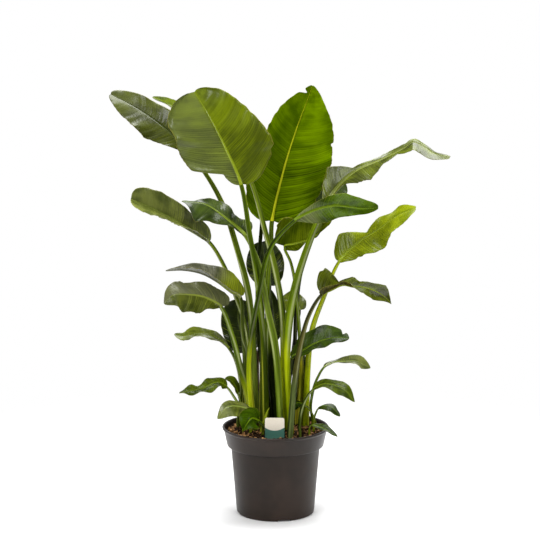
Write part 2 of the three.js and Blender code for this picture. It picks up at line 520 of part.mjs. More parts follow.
// ---- Pot ----------------------------------------------------------------------------------
function potProfile() {
  return [
    [PAD_RADIUS, 0],
    [PAD_RADIUS + 2, RECESS],
    [FOOT_RING_RADIUS, RECESS],
    [FOOT_RING_RADIUS + 1.5, 0],
    [BODY_FOOT_RADIUS - 4, 0],
    [BODY_FOOT_RADIUS - 1, 1.2],
    [BODY_FOOT_RADIUS, 4],
    [BODY_TOP_RADIUS, COLLAR_Z],
    [COLLAR_RADIUS - 1, COLLAR_Z + 0.5],
    [COLLAR_RADIUS, COLLAR_Z + 2],
    [RIM_RADIUS - 3.5, POT_HEIGHT - 7],
    [RIM_RADIUS - 0.8, POT_HEIGHT - 5],
    [RIM_RADIUS, POT_HEIGHT - 2],
    [RIM_RADIUS - 1.2, POT_HEIGHT],
    [RIM_RADIUS - 4, POT_HEIGHT],
    [RIM_RADIUS - 5.5, POT_HEIGHT - 3],
    [COLLAR_RADIUS - WALL, COLLAR_Z + 3],
    [BODY_TOP_RADIUS - WALL, COLLAR_Z - 1.5],
    [BODY_FOOT_RADIUS - WALL, FLOOR_Z + 3],
    [BODY_FOOT_RADIUS - WALL - 3, FLOOR_Z],
  ];
}

function buildPot() {
  let pot = toSolid(turned([[0, 0], ...potProfile(), [0, FLOOR_Z]], SIDES));
  for (let i = 0; i < SLOT_COUNT; i += 1) {
    const slot = new THREE.BoxGeometry(SLOT_WIDTH, 30, 2 * (RECESS - 0.5));
    slot.translate(0, -BODY_FOOT_RADIUS + 3, 0);
    slot.rotateZ(THREE.MathUtils.degToRad(SLOT_TURN + (360 / SLOT_COUNT) * i));
    pot = pot.subtract(toSolid(slot));
  }
  for (let i = 0; i < DRAIN_COUNT; i += 1) {
    const drain = new THREE.CylinderGeometry(DRAIN_RADIUS, DRAIN_RADIUS, 3 * FLOOR_Z, 10);
    drain.rotateX(Math.PI / 2);
    drain.translate(DRAIN_RING, 0, 0);
    drain.rotateZ((2 * Math.PI * (i + 0.5)) / DRAIN_COUNT);
    pot = pot.subtract(toSolid(drain));
  }
  return fromSolid(pot);
}

// ---- Soil ---------------------------------------------------------------------------------
const SOIL_RADIUS = RIM_RADIUS - 8.5; // where the soil meets the collar's inner wall

// Height of the soil: a low mound, roughened by the bark pieces on it.
function soilHeight(x, y) {
  const share = Math.min(1, Math.hypot(x, y) / SOIL_RADIUS);
  const crumbs = Math.sin(0.43 * x + 1.3) * Math.cos(0.39 * y) + Math.sin(0.21 * x - 0.33 * y) * Math.cos(0.3 * x);
  return SOIL_EDGE_Z + SOIL_MOUND * (1 - share ** 2) + 0.5 * CRUMB_HEIGHT * crumbs * (1 - share ** 6);
}

function soilBody() {
  const wallProfile = [
    [SOIL_RADIUS, SOIL_EDGE_Z],
    [COLLAR_RADIUS - WALL - GAP - 1, COLLAR_Z + 3.2],
    [BODY_TOP_RADIUS - WALL - GAP - 1, COLLAR_Z - 1.7],
    [BODY_FOOT_RADIUS - WALL - GAP - 1, FLOOR_Z + 3 + GAP],
    [BODY_FOOT_RADIUS - WALL - 4, FLOOR_Z + GAP],
  ];
  const rings = [];
  for (let ring = 1; ring <= SOIL_RINGS; ring += 1) rings.push([(SOIL_RADIUS * ring) / SOIL_RINGS, null]);
  rings.push(...wallProfile.slice(1));
  const positions = [0, 0, soilHeight(0, 0)];
  rings.forEach(([radius, height]) => {
    for (let ray = 0; ray < SOIL_RAYS; ray += 1) {
      const angle = (2 * Math.PI * ray) / SOIL_RAYS;
      const x = radius * Math.cos(angle);
      const y = radius * Math.sin(angle);
      positions.push(x, y, height ?? soilHeight(x, y));
    }
  });
  const underside = positions.length / 3;
  positions.push(0, 0, FLOOR_Z + GAP);
  const faces = [];
  const at = (ring, ray) => 1 + ring * SOIL_RAYS + (ray % SOIL_RAYS);
  for (let ray = 0; ray < SOIL_RAYS; ray += 1) {
    faces.push(0, at(0, ray), at(0, ray + 1));
    for (let ring = 0; ring + 1 < rings.length; ring += 1) {
      faces.push(at(ring, ray), at(ring + 1, ray), at(ring + 1, ray + 1));
      faces.push(at(ring, ray), at(ring + 1, ray + 1), at(ring, ray + 1));
    }
    faces.push(underside, at(rings.length - 1, ray + 1), at(rings.length - 1, ray));
  }
  const geometry = new THREE.BufferGeometry();
  geometry.setAttribute("position", new THREE.Float32BufferAttribute(positions, 3));
  geometry.setIndex(faces);
  return geometry;
}

// An upright hole in the soil with the outline of the stem that stands in it.
function stemHole(row, centre) {
  const corners = row.filter((_, k) => k % 2 === 0);
  const swell = 1 / Math.cos(Math.PI / corners.length); // keeps the flats outside the stem
  const shape = new THREE.Shape(
    corners.map((point) => {
      const out = new THREE.Vector2(point.x - centre[0], point.y - centre[1]);
      return out.setLength(out.length() * swell + HOLE_CLEARANCE).add(new THREE.Vector2(...centre));
    }),
  );
  const depth = SOIL_EDGE_Z + 3 * SOIL_MOUND - STEM_HOLE_Z;
  return new THREE.ExtrudeGeometry(shape, { depth, bevelEnabled: false }).translate(0, 0, STEM_HOLE_Z);
}

function tagOutline(margin) {
  const half = TAG_WIDTH / 2 + margin;
  const stake = TAG_STAKE_WIDTH / 2 + margin;
  const corner = TAG_CORNER;
  const shape = new THREE.Shape();
  shape.moveTo(-stake, TAG_FOOT_Z + 10 - margin);
  shape.lineTo(0, TAG_FOOT_Z - margin);
  shape.lineTo(stake, TAG_FOOT_Z + 10 - margin);
  shape.lineTo(stake, TAG_SHOULDER_Z - 12);
  shape.lineTo(half, TAG_SHOULDER_Z - margin);
  shape.lineTo(half, TAG_TOP_Z - corner);
  shape.absarc(half - corner, TAG_TOP_Z - corner, corner, 0, Math.PI / 2, false);
  shape.lineTo(-half + corner, TAG_TOP_Z);
  shape.absarc(-half + corner, TAG_TOP_Z - corner, corner, Math.PI / 2, Math.PI, false);
  shape.lineTo(-half, TAG_SHOULDER_Z - margin);
  shape.lineTo(-stake, TAG_SHOULDER_Z - 12);
  return shape;
}

function buildTag(margin = 0) {
  const depth = TAG_THICKNESS + 2 * margin;
  const geometry = new THREE.ExtrudeGeometry(tagOutline(margin), { depth, bevelEnabled: false, curveSegments: 5 });
  geometry.rotateX(Math.PI / 2);
  geometry.translate(TAG_PLACE[0], TAG_PLACE[1] + depth / 2, 0);
  return geometry;
}

function buildSoil(stems) {
  let soil = toSolid(soilBody());
  stems.forEach(({ row, centre }) => {
    soil = soil.subtract(toSolid(stemHole(row, centre)));
  });
  soil = soil.subtract(toSolid(buildTag(HOLE_CLEARANCE)));
  return fromSolid(soil);
}

// ---- The object ---------------------------------------------------------------------------
const plant = new THREE.Group();

function addPiece(name, geometry, material) {
  const mesh = new THREE.Mesh(geometry, material);
  mesh.name = name;
  plant.add(mesh);
}

const stems = [];

function addStem(name, rows, centre, material, holeRow = rows[0]) {
  stems.push({ row: holeRow, centre });
  addPiece(name, loft(rows), material);
}

addPiece("pot", buildPot(), POT_PLASTIC);
LEAVES.forEach((leaf) => addStem(leaf.name, leafRows(leaf), leaf.foot, LEAF_GREEN));
addStem("young_shoot", shootRows(), SHOOT.foot, LEAF_GREEN);
addStem("dry_sheath", drySheathRows(), DRY_SHEATH.foot, DRY_BROWN, drySheathHole());
addPiece("plant_tag", buildTag(), TAG_CREAM);
addPiece("soil", buildSoil(stems), POTTING_MIX);

export default plant;
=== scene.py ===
# Looks of a potted bird of paradise: pleated leaves on long stalks, bark soil and a nursery pot.
# Lengths named here are millimetres, as on the real plant; meshes are written in metres.
import math
import random

import bmesh
import bpy
import numpy as np
from mathutils import Matrix, Vector


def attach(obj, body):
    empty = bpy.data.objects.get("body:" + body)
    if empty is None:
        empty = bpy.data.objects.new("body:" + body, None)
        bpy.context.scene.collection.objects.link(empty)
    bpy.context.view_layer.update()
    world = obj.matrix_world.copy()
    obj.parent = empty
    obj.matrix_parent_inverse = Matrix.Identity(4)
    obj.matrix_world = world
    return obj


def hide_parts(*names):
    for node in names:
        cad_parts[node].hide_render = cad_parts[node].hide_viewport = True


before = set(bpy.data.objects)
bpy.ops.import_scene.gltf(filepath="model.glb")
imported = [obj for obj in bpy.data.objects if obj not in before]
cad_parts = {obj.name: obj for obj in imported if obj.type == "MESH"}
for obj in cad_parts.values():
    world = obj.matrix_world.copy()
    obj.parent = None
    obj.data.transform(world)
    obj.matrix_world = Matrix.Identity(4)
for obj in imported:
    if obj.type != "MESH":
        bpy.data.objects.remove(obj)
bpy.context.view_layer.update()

MM = 0.001
BODY = "root"

# ---- Camera and light --------------------------------------------------------------------
CAMERA_PLACE = (-12.3, -4000, 1220)
CAMERA_TARGET_Z = 555
LENS = 121.47  # on a 36 mm sensor
LIGHT_AROUND = 0.10  # strength of the surround as the plant is lit by it
LIGHT_BEHIND = 0.35
LIGHT_ABOVE = 0.2
FLOOR_RADIUS = 1300
SOFTBOXES = {  # place and target in metres, width and height in metres, power in watts
    "front_softbox": [(-1.2, -2.7, 3.0), (0, 0, 0.6), (1.8, 1.2), 50],
    "top_softbox": [(0.1, 0.2, 2.7), (0, 0, 0.5), (1.5, 1.1), 68],
    "back_softbox": [(0.3, 2.6, 2.3), (0, 0, 0.7), (3.0, 1.6), 50],
    "left_softbox": [(-2.4, -2.2, 1.9), (0, 0, 0.6), (1.0, 1.8), 45],
    "right_softbox": [(2.0, -2.6, 1.5), (0, 0, 0.5), (0.7, 1.6), 42],
}

# ---- Pot and soil ------------------------------------------------------------------------
POT_HEIGHT = 199
RIM_RADIUS = 120
WALL = 2
COLLAR_Z = 155
COLLAR_RADIUS = 109
BODY_TOP_RADIUS = 100.5
BODY_FOOT_RADIUS = 88
FLOOR_Z = 7
PAD_RADIUS = 30
FOOT_RING_RADIUS = 74
RECESS = 3.5
EDGE_ROUNDING = 1.4
SLOT_COUNT = 4
SLOT_WIDTH = 30
SLOT_HEIGHT = 4.5
SLOT_TURN = 13  # degrees from the front to the first slot
DRAIN_COUNT = 6
DRAIN_RADIUS = 5
DRAIN_RING = 52
POT_SEGMENTS = 176
GAP = 0.3

SOIL_EDGE_Z = 187
SOIL_MOUND = 9
SOIL_RADIUS = RIM_RADIUS - 8.5
CRUMB_HEIGHT = 2.2
SOIL_ROUGHNESS = 2.6
SOIL_RINGS = 56
SOIL_RAYS = 180
CHIP_COUNT = 2200
CHIP_SEED = 11
CHIP_LENGTHS = (3, 13)
LIGHT_CHIP_SHARE = 0.3

# ---- Stems and blades --------------------------------------------------------------------
STEM_FOOT_Z = 159
STEM_EXIT_Z = 202
SHEATH_SHARE = 0.45
SHEATH_FLATNESS = 1.5
STALK_CHANNEL, CHANNEL_REACH = 0.22, 0.42  # depth and width of the channel on top, in half widths
SHEATH_CHANNEL = 0.33  # how much deeper the channel is at a sheath's foot
SOIL_CHANNEL = 0.5  # and its depth in the soil
FLUTE_DEPTH, FLUTE_RATE = 0.02, 9
STALK_STEP = 7  # length of one cross section's stretch of stalk
BLADE_STEP = 2.6
BLADE_THICKNESS = 0.9
NECK_BLEND = 22  # length over which the stalk turns into the midrib
NECK_END = 0.996
RIB_SHARE = 0.75  # share of the stalk's half width that the midrib starts with and loses up to the tip
RIB_TIP = 0.5  # half width that the midrib has on top of that, and is left with at the tip
RIB_DEPTH = 1.5  # how far it stands out below the blade, in its half widths
RIB_GROOVE, RIB_GROOVE_REACH = 0.45, 0.62  # depth and half width of the groove on top, in the same
RIB_STEPS = np.array([0, 0.22, 0.44, 0.64, 0.84, 1.05, 1.3])  # columns over the midrib, in its half widths
LAMINA_STEPS = np.linspace(0, 1, 18)[1:] ** 0.92  # columns from the midrib's side to the edge
VEIN_SLOPE = 0.36  # how fast side veins run forward as they leave the midrib
VEIN_BEND = 0.22  # and how much more near the edge
LINE_PITCH = 5.3  # length from one dark side vein to the next
BAND_RATE, PATCH_RATE, STREAK_RATE = 0.11, 0.018, 0.62  # how closely they follow each other up a blade
PLEAT_PITCH = 8.5
PLEAT_SLOPE = 0.06  # height of a pleat as a share of its length
PLEAT_FADE = 0.85  # share of their height that pleats lose between these two shares of the blade
PLEAT_FADE_ZONE = (0.45, 0.8)
FULL_RELIEF_WIDTH = 45  # narrower halves have lower pleats, swells and frills
SWELL_HEIGHT, SWELL_PITCH = 1.5, 21
FRILL_HEIGHT, FRILL_PITCH = 1.3, 7.5
LEFT_WAVE_SHIFT = 0.37  # the left edge's ripples run ahead of the right edge's by this share of one
EDGE_BEVEL, EDGE_LEAST = 1.2, 0.35  # length over which a blade thins out at its edge, and down to what share
HALVES_APART = 500  # keeps the patterns of the two halves apart
EDGE_UNEVENNESS, EDGE_PITCH = 0.012, 9
ROLL_START = 0.72  # where across a half its rolled edge begins
PLAIN_SHAPE = [0.38, 0.75]
PLAIN_LOBES = [[-0.25, 0.3], [-0.25, 0.3]]
STRAIGHT = [[0], [0]]

SHOOT = {"foot": [-30, -50], "path": [[-27, -52, 215], [-20, -54, 240], [-14, -55, 254]], "half": 5}
SHOOT_TIP = 0.6
SHOOT_SEAM, SEAM_REACH, SEAM_TURN = 0.16, 0.5, 2.4  # depth as a share; width and winding in radians
DRY_SHEATH = {"foot": [-44, 54], "half": 7, "top": [-41, 50, 368], "thickness": 1.2, "bow": 5,
              "grain": 164}  # half width at the foot, bow of its edges, length of its fibre pattern

TAG_WIDTH = 43
TAG_THICKNESS = 1
TAG_TOP_Z = 239
TAG_SHOULDER_Z = 192
TAG_CORNER = 5
TAG_STAKE_WIDTH = 14
TAG_FOOT_Z = 130
TAG_PLACE = (-2, -88)
TAG_FIELD_TOP_Z = 210
TAG_FIELD_CURVE = 15  # metres that its top edge rises, per square metre of distance from the middle

# ---- Colours, as 8 bit screen colours ----------------------------------------------------
# Each kind of blade has a dark and a light colour for the upper side and for the underside, the colour
# of its midrib, and how glossy it is. Some also have:
#   base     how strongly painted light covers the stretch next to the neck, and its colour: a sheen, and on
#            the sheen kind light shining through
#   half     which half gets a painted tint (1 right, -1 left), how strongly, and the tint: a sheen, and on the
#            glow kind shade
#   streaks  how strongly painted highlight streaks show
BLADES = {
    # The olive kind's half tint is a painted grey sheen on its left half.
    "olive": {"upper": [(78, 90, 2), (114, 130, 2)], "under": [(92, 100, 4), (128, 136, 16)],
              "rib": (140, 156, 24), "gloss": 0.6, "half": (-1, 0.25, (118, 122, 96))},
    # The glow kind's bright colours are painted light shining through a backlit blade, and its half tint is
    # painted shade on its right half.
    "glow": {"upper": [(52, 74, 2), (92, 116, 6)], "under": [(74, 100, 0), (112, 142, 0)],
             "rib": (216, 216, 40), "gloss": 0.0, "half": (1, 0.3, (20, 44, 0))},
    "shade": {"upper": [(52, 58, 4), (74, 82, 10)], "under": [(72, 82, 16), (96, 106, 30)],
              "rib": (60, 70, 10), "gloss": 0.75},
    "fresh": {"upper": [(42, 56, 0), (82, 98, 4)], "under": [(76, 90, 10), (106, 120, 20)],
              "rib": (100, 118, 20), "gloss": 0.4},
    "grey": {"upper": [(60, 68, 2), (98, 110, 6)], "under": [(88, 90, 46), (118, 117, 76)],
             "rib": (116, 126, 50), "gloss": 0.7},
    "deep": {"upper": [(28, 44, 0), (56, 78, 2)], "under": [(60, 72, 8), (88, 96, 24)],
             "rib": (98, 122, 20), "gloss": 0.45},
    "dark": {"upper": [(18, 28, 0), (42, 54, 6)], "under": [(50, 60, 16), (74, 84, 26)],
             "rib": (80, 94, 24), "gloss": 0.6, "streaks": 0.5},
    "silver": {"upper": [(70, 80, 12), (112, 120, 44)], "under": [(86, 94, 30), (124, 130, 60)],
               "rib": (134, 150, 60), "gloss": 1.0},
    # The sheen kind's upper colours are a painted silver sheen, and its base tint is painted light shining
    # through.
    "sheen": {"upper": [(54, 58, 28), (114, 114, 88)], "under": [(76, 80, 46), (110, 112, 80)],
              "rib": (96, 98, 66), "gloss": 0.8, "base": (0.95, (136, 148, 8))},
    # This kind's half tint is a painted silver sheen on its right half.
    "parted": {"upper": [(48, 56, 4), (80, 88, 14)], "under": [(52, 58, 14), (84, 88, 36)],
               "rib": (118, 128, 44), "gloss": 0.6, "half": (1, 0.35, (124, 122, 100)), "streaks": 0.3},
    # The lit kind's base tint is a painted silver sheen.
    "lit": {"upper": [(78, 92, 6), (116, 128, 24)], "under": [(96, 100, 60), (126, 128, 92)],
            "rib": (110, 124, 30), "gloss": 0.6, "base": (0.7, (92, 94, 66))},
    "clean": {"upper": [(26, 44, 0), (52, 76, 0)], "under": [(60, 76, 6), (90, 104, 20)],
              "rib": (88, 112, 10), "gloss": 0.1},
    "umber": {"upper": [(40, 44, 4), (76, 86, 8)], "under": [(56, 52, 14), (84, 80, 26)],
              "rib": (120, 134, 30), "gloss": 0.2},
    "slate": {"upper": [(28, 42, 0), (58, 76, 2)], "under": [(64, 74, 14), (92, 100, 30)],
              "rib": (108, 126, 24), "gloss": 0.7},
    "moss": {"upper": [(54, 68, 0), (90, 104, 4)], "under": [(72, 84, 6), (104, 114, 20)],
             "rib": (118, 134, 24), "gloss": 0.15},
    # This kind's base tint is a painted silver sheen near the neck.
    "polished": {"upper": [(44, 64, 0), (76, 102, 4)], "under": [(60, 76, 6), (90, 104, 20)],
                 "rib": (100, 122, 20), "gloss": 0.2, "base": (0.5, (126, 130, 88))},
    "lime": {"upper": [(112, 128, 4), (150, 164, 12)], "under": [(112, 128, 16), (146, 158, 40)],
             "rib": (150, 168, 44), "gloss": 0.5},
}
# Each kind of stalk has a dark and a light colour, and how strongly its painted highlight stripe shows; the
# shadow kind paints the shade on stalks deep in the clump.
STALKS = {
    "plain": [(66, 86, 2), (110, 132, 8), 0.35],
    "bright": [(130, 146, 2), (176, 188, 12), 0.2],
    "sage": [(82, 102, 14), (118, 136, 44), 0.5],
    "speckled": [(52, 64, 26), (92, 104, 56), 0.2],
    "yellow": [(80, 84, 4), (176, 170, 30), 0.2],
    "green": [(32, 46, 0), (88, 114, 0), 0.12],
    "forest": [(50, 66, 0), (78, 96, 2), 0.12],
    "pale": [(70, 88, 6), (116, 134, 30), 0.75],
    "moss": [(44, 58, 8), (84, 98, 30), 0.3],
    "shadow": [(10, 16, 0), (30, 40, 2), 0.1],
    "bronze": [(44, 44, 16), (86, 82, 36), 0.25],
}
BLADE_EDGE = (150, 140, 60)
PAINTED_STREAK_HIGHLIGHT = (176, 188, 60)
# painted highlight along the stalks
PAINTED_STALK_HIGHLIGHT = (206, 212, 156)
STALK_FLECK = (178, 186, 130)
SHEATH_EDGE = (196, 200, 60)
SHEATH_LINE = (122, 74, 44)
HUSK_TONES = [(74, 48, 32), (168, 136, 108)]
POT_TONES = [(31, 23, 17), (44, 33, 26)]
POT_WEAR = (88, 78, 70)
SOIL_TONES = [(14, 8, 4), (46, 27, 15)]
CHIP_TONES = [(128, 82, 46), (216, 168, 112)]
TAG_CREAM = [(216, 206, 188), (226, 218, 202)]
TAG_GREEN = [(52, 96, 84), (60, 106, 92)]
# The shades of folds and side veins, and the floor's tones, are linear colours.
FOLD_SHADE = (0.008, 0.014, 0.001, 1)
VEIN_SHADE = (0.01, 0.018, 0.001, 1)
STREAK_SHADE = (0.01, 0.016, 0.001, 1)
FLOOR_TONES = [(0.93, 0.93, 0.93, 1), (0.95, 0.95, 0.95, 1)]

# ---- The leaves --------------------------------------------------------------------------
#   foot         where a leaf stands
#   blade, stem  kinds of its blade, of its stalk, and of its stalk's foot
#   stalk, rib   points of its centre line: the last stalk point is the neck, the last rib point the tip
#   thick        half width of the stalk at the soil, above its sheath and at the neck
#   left, right  half widths of the blade from neck to tip, seen on its upper side with the tip up
#   face         directions that the upper side looks in
#   fold, curl   degrees that each half is lifted, and bends on towards its edge
#   roll         degrees that the outer edge of each half rolls further
#   pitch        length from one pleat to the next
#   wave         height, number and phase of the ripples along the edge
#   lobe         how far the edge of each half lags or leads, as a share of its width
#   shape        where the blade is widest and how blunt its tip is
#   notches      tears in the edge: half (0 left, 1 right), share of the blade, depth and width as shares
LEAVES = [
    {"name": "leaf_01", "foot": [-41, 42], "thick": [12, 7.8, 4.5],
     "blade": "shade", "stem": ["pale", "sage"],
     "stalk": [[-60, 32, 490], [-85, 26, 596], [-121, 22, 707], [-172, 22, 792]],
     "rib": [[-229, 24, 856], [-296, 34, 906], [-366, 44, 943]],
     "left": [6, 12, 32, 49, 47, 42, 34], "right": [46, 41, 36, 39], "shape": [0.38, 0.5],
     "face": [[-0.5, -0.6, 0.6], [-0.2, -0.8, 0.6], [-0.2, -0.7, 0.7]],
     "fold": [[10], [10]], "curl": [[0, -10], [0, -10]], "wave": [3, 3, 0]},
    {"name": "leaf_02", "foot": [19, -32], "thick": [13, 7.5, 5],
     "blade": "moss", "stem": ["pale", "bright"],
     "stalk": [[16, -20, 452], [-1, -22, 560], [-21, -16, 637], [-56, 6, 756]],
     "rib": [[-102, 60, 819], [-170, 115, 881], [-280, 160, 929]],
     "left": [44, 50, 52], "right": [44, 48, 44],
     "face": [[-0.2, -0.1, 1], [-0.1, -0.15, 1], [-0.1, -0.1, 1]],
     "fold": [[12], [12]], "wave": [3, 3, 0.4]},
    {"name": "leaf_03", "foot": [-26, -4], "thick": [14, 7.8, 4.6],
     "blade": "olive", "stem": ["plain", "forest"],
     "notches": [[1, 0.3, 0.05, 0.03]],
     "stalk": [[-28, -26, 422], [-41, -50, 549], [-56, -64, 640], [-75, -68, 754]],
     "rib": [[-109, -78, 836], [-145, -86, 909], [-175, -80, 957]],
     "left": [40, 36, 90, 99, 94, 112, 115], "right": [70, 82, 102, 94, 79, 70, 52], "shape": [0.42, 0.5],
     "lobe": [[-0.1, -0.05, 0.08, 0.3], [-0.42, -0.25, 0.08, 0.3]], "pitch": 10,
     "roll": [[0, 0, 0, 0, 40, 70], [-50, -20, 0, 0, 0, 50]],
     "face": [[0.1, -1, 0.2], [0, -1, 0.25], [0, -0.8, 0.5]],
     "fold": [[-14], [4]], "wave": [6, 2.5, 0.3]},
    {"name": "leaf_04", "foot": [4, 12], "thick": [11, 6, 5],
     "blade": "glow", "stem": ["plain", "shadow"],
     "notches": [[1, 0.93, 0.65, 0.016], [0, 0.62, 0.06, 0.012], [0, 0.36, 0.05, 0.02]],
     "stalk": [[-15, 16, 404], [-17, 30, 527], [-10, 42, 605], [-8, 50, 658]],
     "rib": [[17, 58, 768], [47, 64, 864], [75, 60, 940], [82, 52, 962]],
     "left": [96, 99, 100, 88, 45], "right": [96, 82, 66, 63, 38], "shape": [0.45, 0.66],
     "roll": [[70, 50, 0, 0, 0], [0]], "pitch": 16,
     "face": [[0, 1, 0.1], [0.1, 1, 0], [0.1, 0.9, 0.2]],
     "fold": [[-8], [-14]], "wave": [4, 3, 0]},
    {"name": "leaf_05", "foot": [-12, 40], "thick": [8, 5, 4],
     "blade": "deep", "stem": ["shadow", "shadow"],
     "stalk": [[-38, 50, 409], [-39, 60, 564], [-35, 64, 602], [-28, 72, 692]],
     "rib": [[-28, 98, 745], [-35, 135, 799], [-42, 175, 838]],
     "left": [42], "right": [42],
     "face": [[0, -0.9, 0.4], [0, -0.7, 0.7], [0, -0.4, 0.9]],
     "fold": [[15], [15]], "wave": [2, 3, 0.1]},
    {"name": "leaf_06", "foot": [-54, 50], "thick": [9, 5.5, 4],
     "blade": "silver", "stem": ["pale", "moss"],
     "stalk": [[-65, 42, 401], [-93, 34, 500], [-115, 24, 560], [-148, 2, 618]],
     "rib": [[-198, -24, 656], [-257, -58, 695], [-313, -92, 727]],
     "left": [20, 29, 44, 49, 52], "right": [25, 32, 34, 31, 33, 39, 42, 44, 45, 51, 56],
     "shape": [0.38, 0.42],
     "face": [[-0.1, -0.75, 0.7], [-0.1, -0.75, 0.65], [-0.1, -0.75, 0.7]],
     "fold": [[62, 60, 47, 34, 14], [40]], "wave": [2, 3, 0]},
    {"name": "leaf_07", "foot": [12, -60], "thick": [9.5, 8.2, 4.5],
     "blade": "slate", "stem": ["sage", "sage"],
     "stalk": [[0, -56, 385], [-20, -44, 485], [-37, -34, 573], [-67, -28, 637]],
     "rib": [[-107, -26, 674], [-155, -30, 707], [-206, -38, 714]],
     "left": [8, 8, 10, 14, 22, 32, 46, 56, 60, 32, 4],
     "right": [48, 42, 24, 18, 28, 35, 29, 14, 12, 12, 12],
     "face": [[-0.3, -0.5, 0.8], [-0.2, -0.4, 0.9], [0, -0.3, 1]],
     "fold": [[-10, -35, -30], [30, 10, 20]], "wave": [4, 3, 0.2]},
    {"name": "leaf_08", "foot": [32, -46], "thick": [13.5, 10, 6.4],
     "blade": "grey", "stem": ["plain", "bright"],
     "stalk": [[24, -50, 383], [39, -44, 507], [77, -34, 630], [109, -22, 700]],
     "rib": [[131, -10, 735], [157, -16, 765], [185, -24, 786], [222, -34, 803], [258, -48, 822],
             [281, -56, 835],
             [297, -64, 847], [319, -74, 839], [342, -90, 825], [374, -108, 818]],
     "left": [20, 36, 54, 9, 12, 20, 11, 16, 9, 5, 12], "right": [8, 10, 10, 35, 42, 14, 6, 28, 28, 28, 24],
     "shape": [0.38, 0.35],
     "face": [[-0.5, -0.4, 0.7], [-0.2, -0.4, 0.9], [-0.1, -0.2, 0.9], [0, -0.3, 0.9], [0.2, -0.4, 0.9]],
     "fold": [[50, 40, 10, 20, 20], [10, -10, -35, -40, -15, -10]], "wave": [2, 3, 0.1]},
    {"name": "leaf_09", "foot": [46, 64], "thick": [8, 5, 4],
     "blade": "slate", "stem": ["shadow", "shadow"],
     "stalk": [[44, 58, 374], [54, 58, 522], [79, 62, 618], [87, 66, 667]],
     "rib": [[100, 76, 695], [125, 90, 720], [157, 104, 740]],
     "left": [44], "right": [44],
     "face": [[-0.2, -0.6, 0.8], [0, -0.6, 0.8]],
     "fold": [[20], [-25]], "wave": [4, 4, 0]},
    {"name": "leaf_10", "foot": [-50, -24], "thick": [9, 6.5, 4.5],
     "blade": "polished", "stem": ["green", "bright"],
     "stalk": [[-59, -40, 359], [-39, -60, 498], [-10, -74, 618], [42, -88, 679]],
     "rib": [[72, -96, 698], [100, -108, 709], [128, -118, 715], [159, -126, 713], [191, -134, 711],
             [219, -142, 714]],
     "left": [8, 12, 19, 31, 27, 24], "right": [14, 28, 34, 26, 18, 16], "shape": [0.32, 0.5],
     "face": [[-0.3, -0.9, 0.4], [0, -0.9, 0.45], [0.1, -0.9, 0.4]],
     "fold": [[8], [-12]], "wave": [2, 2, 0]},
    {"name": "leaf_11", "foot": [54, 30], "thick": [12, 4.5, 3],
     "blade": "moss", "stem": ["plain", "yellow"],
     "stalk": [[57, 28, 334], [46, 12, 505], [34, -2, 572], [20, -8, 609]],
     "rib": [[34, -9, 614], [48, -10, 618], [78, -13, 629], [107, -18, 650], [125, -24, 672]],
     "left": [56, 60, 48, 30, 16], "right": [18, 15, 3, 2, 2], "lobe": [[-0.5, -0.2, 0, 0.2], [-0.5, 0.1]],
     "shape": [0.25, 0.75],
     "face": [[-0.1, -0.5, 0.85], [0, -0.2, 0.95], [0, 0, 1]],
     "fold": [[58, 56, 50], [-50]], "curl": [[20], [-20]], "wave": [3, 3, 0]},
    {"name": "leaf_12", "foot": [-18, 66], "thick": [8, 5, 4],
     "blade": "dark", "stem": ["shadow", "shadow"],
     "stalk": [[-20, 76, 380], [-17, 88, 471], [-13, 98, 502]],
     "rib": [[-17, 108, 533], [-26, 120, 568], [-31, 130, 599]],
     "left": [40, 46, 36], "right": [34, 42, 40], "shape": [0.45, 0.6],
     "face": [[0, -1, 0.1], [0, -1, 0.2]],
     "fold": [[5], [5]], "wave": [4, 3, 0.3]},
    {"name": "leaf_13", "foot": [68, 16], "thick": [13, 7, 3.5],
     "blade": "lime", "stem": ["bright", "bright"],
     "notches": [[1, 0.22, 0.1, 0.02]],
     "stalk": [[72, 22, 322], [82, 22, 414], [111, 14, 498], [141, 0, 573]],
     "rib": [[181, -16, 618], [227, -36, 653], [264, -58, 684], [304, -80, 706]],
     "left": [44, 48, 12, 26, 28, 19], "right": [18, 31, 43, 43, 34, 42],
     "face": [[-0.4, -0.7, 0.6], [-0.2, -0.7, 0.7], [-0.1, -0.5, 0.8], [0, -0.4, 0.9]],
     "shape": [0.38, 0.42],
     "fold": [[20, 10, 20], [-5, -20, -10]], "wave": [5, 3, 0.3]},
    {"name": "leaf_14", "foot": [32, -78], "thick": [10.5, 6.5, 3.5],
     "blade": "umber", "stem": ["bronze", "speckled"],
     "notches": [[0, 0.12, 0.18, 0.02]],
     "stalk": [[41, -72, 309], [54, -66, 394], [74, -60, 465], [102, -62, 511]],
     "rib": [[126, -70, 526], [148, -80, 536], [171, -88, 534], [197, -98, 532], [220, -108, 525],
             [237, -120, 515],
             [250, -130, 502]],
     "left": [60, 86, 12, 36, 14, 22, 37, 22, 12], "right": [40, 30, 6, 8, 36, 28, 30, 22, 12],
     "lobe": [[-0.19, 0.3], [-0.25, 0.3]],
     "face": [[-0.5, -0.8, 0.4], [-0.3, -0.2, 0.9], [0, -0.4, 0.9], [0.2, -0.6, 0.8]],
     "fold": [[10], [85, 75, -10, -20]], "wave": [3, 3, 0.3]},
    {"name": "leaf_15", "foot": [-74, 40], "thick": [8, 5, 4],
     "blade": "sheen", "stem": ["moss", "moss"],
     "stalk": [[-69, 22, 323], [-74, 6, 429], [-79, -6, 495]],
     "rib": [[-99, -8, 510], [-128, -4, 531], [-164, 4, 548], [-207, 12, 554], [-246, 22, 550]],
     "left": [40, 46, 44, 30], "right": [38, 36, 24, 15, 10],
     "face": [[0, -0.75, 0.75], [0, -0.7, 0.75]],
     "fold": [[62, 65, 60], [42, 36, 26]], "wave": [2, 3, 0.2]},
    {"name": "leaf_16", "foot": [-56, 4], "thick": [14, 8, 4.5],
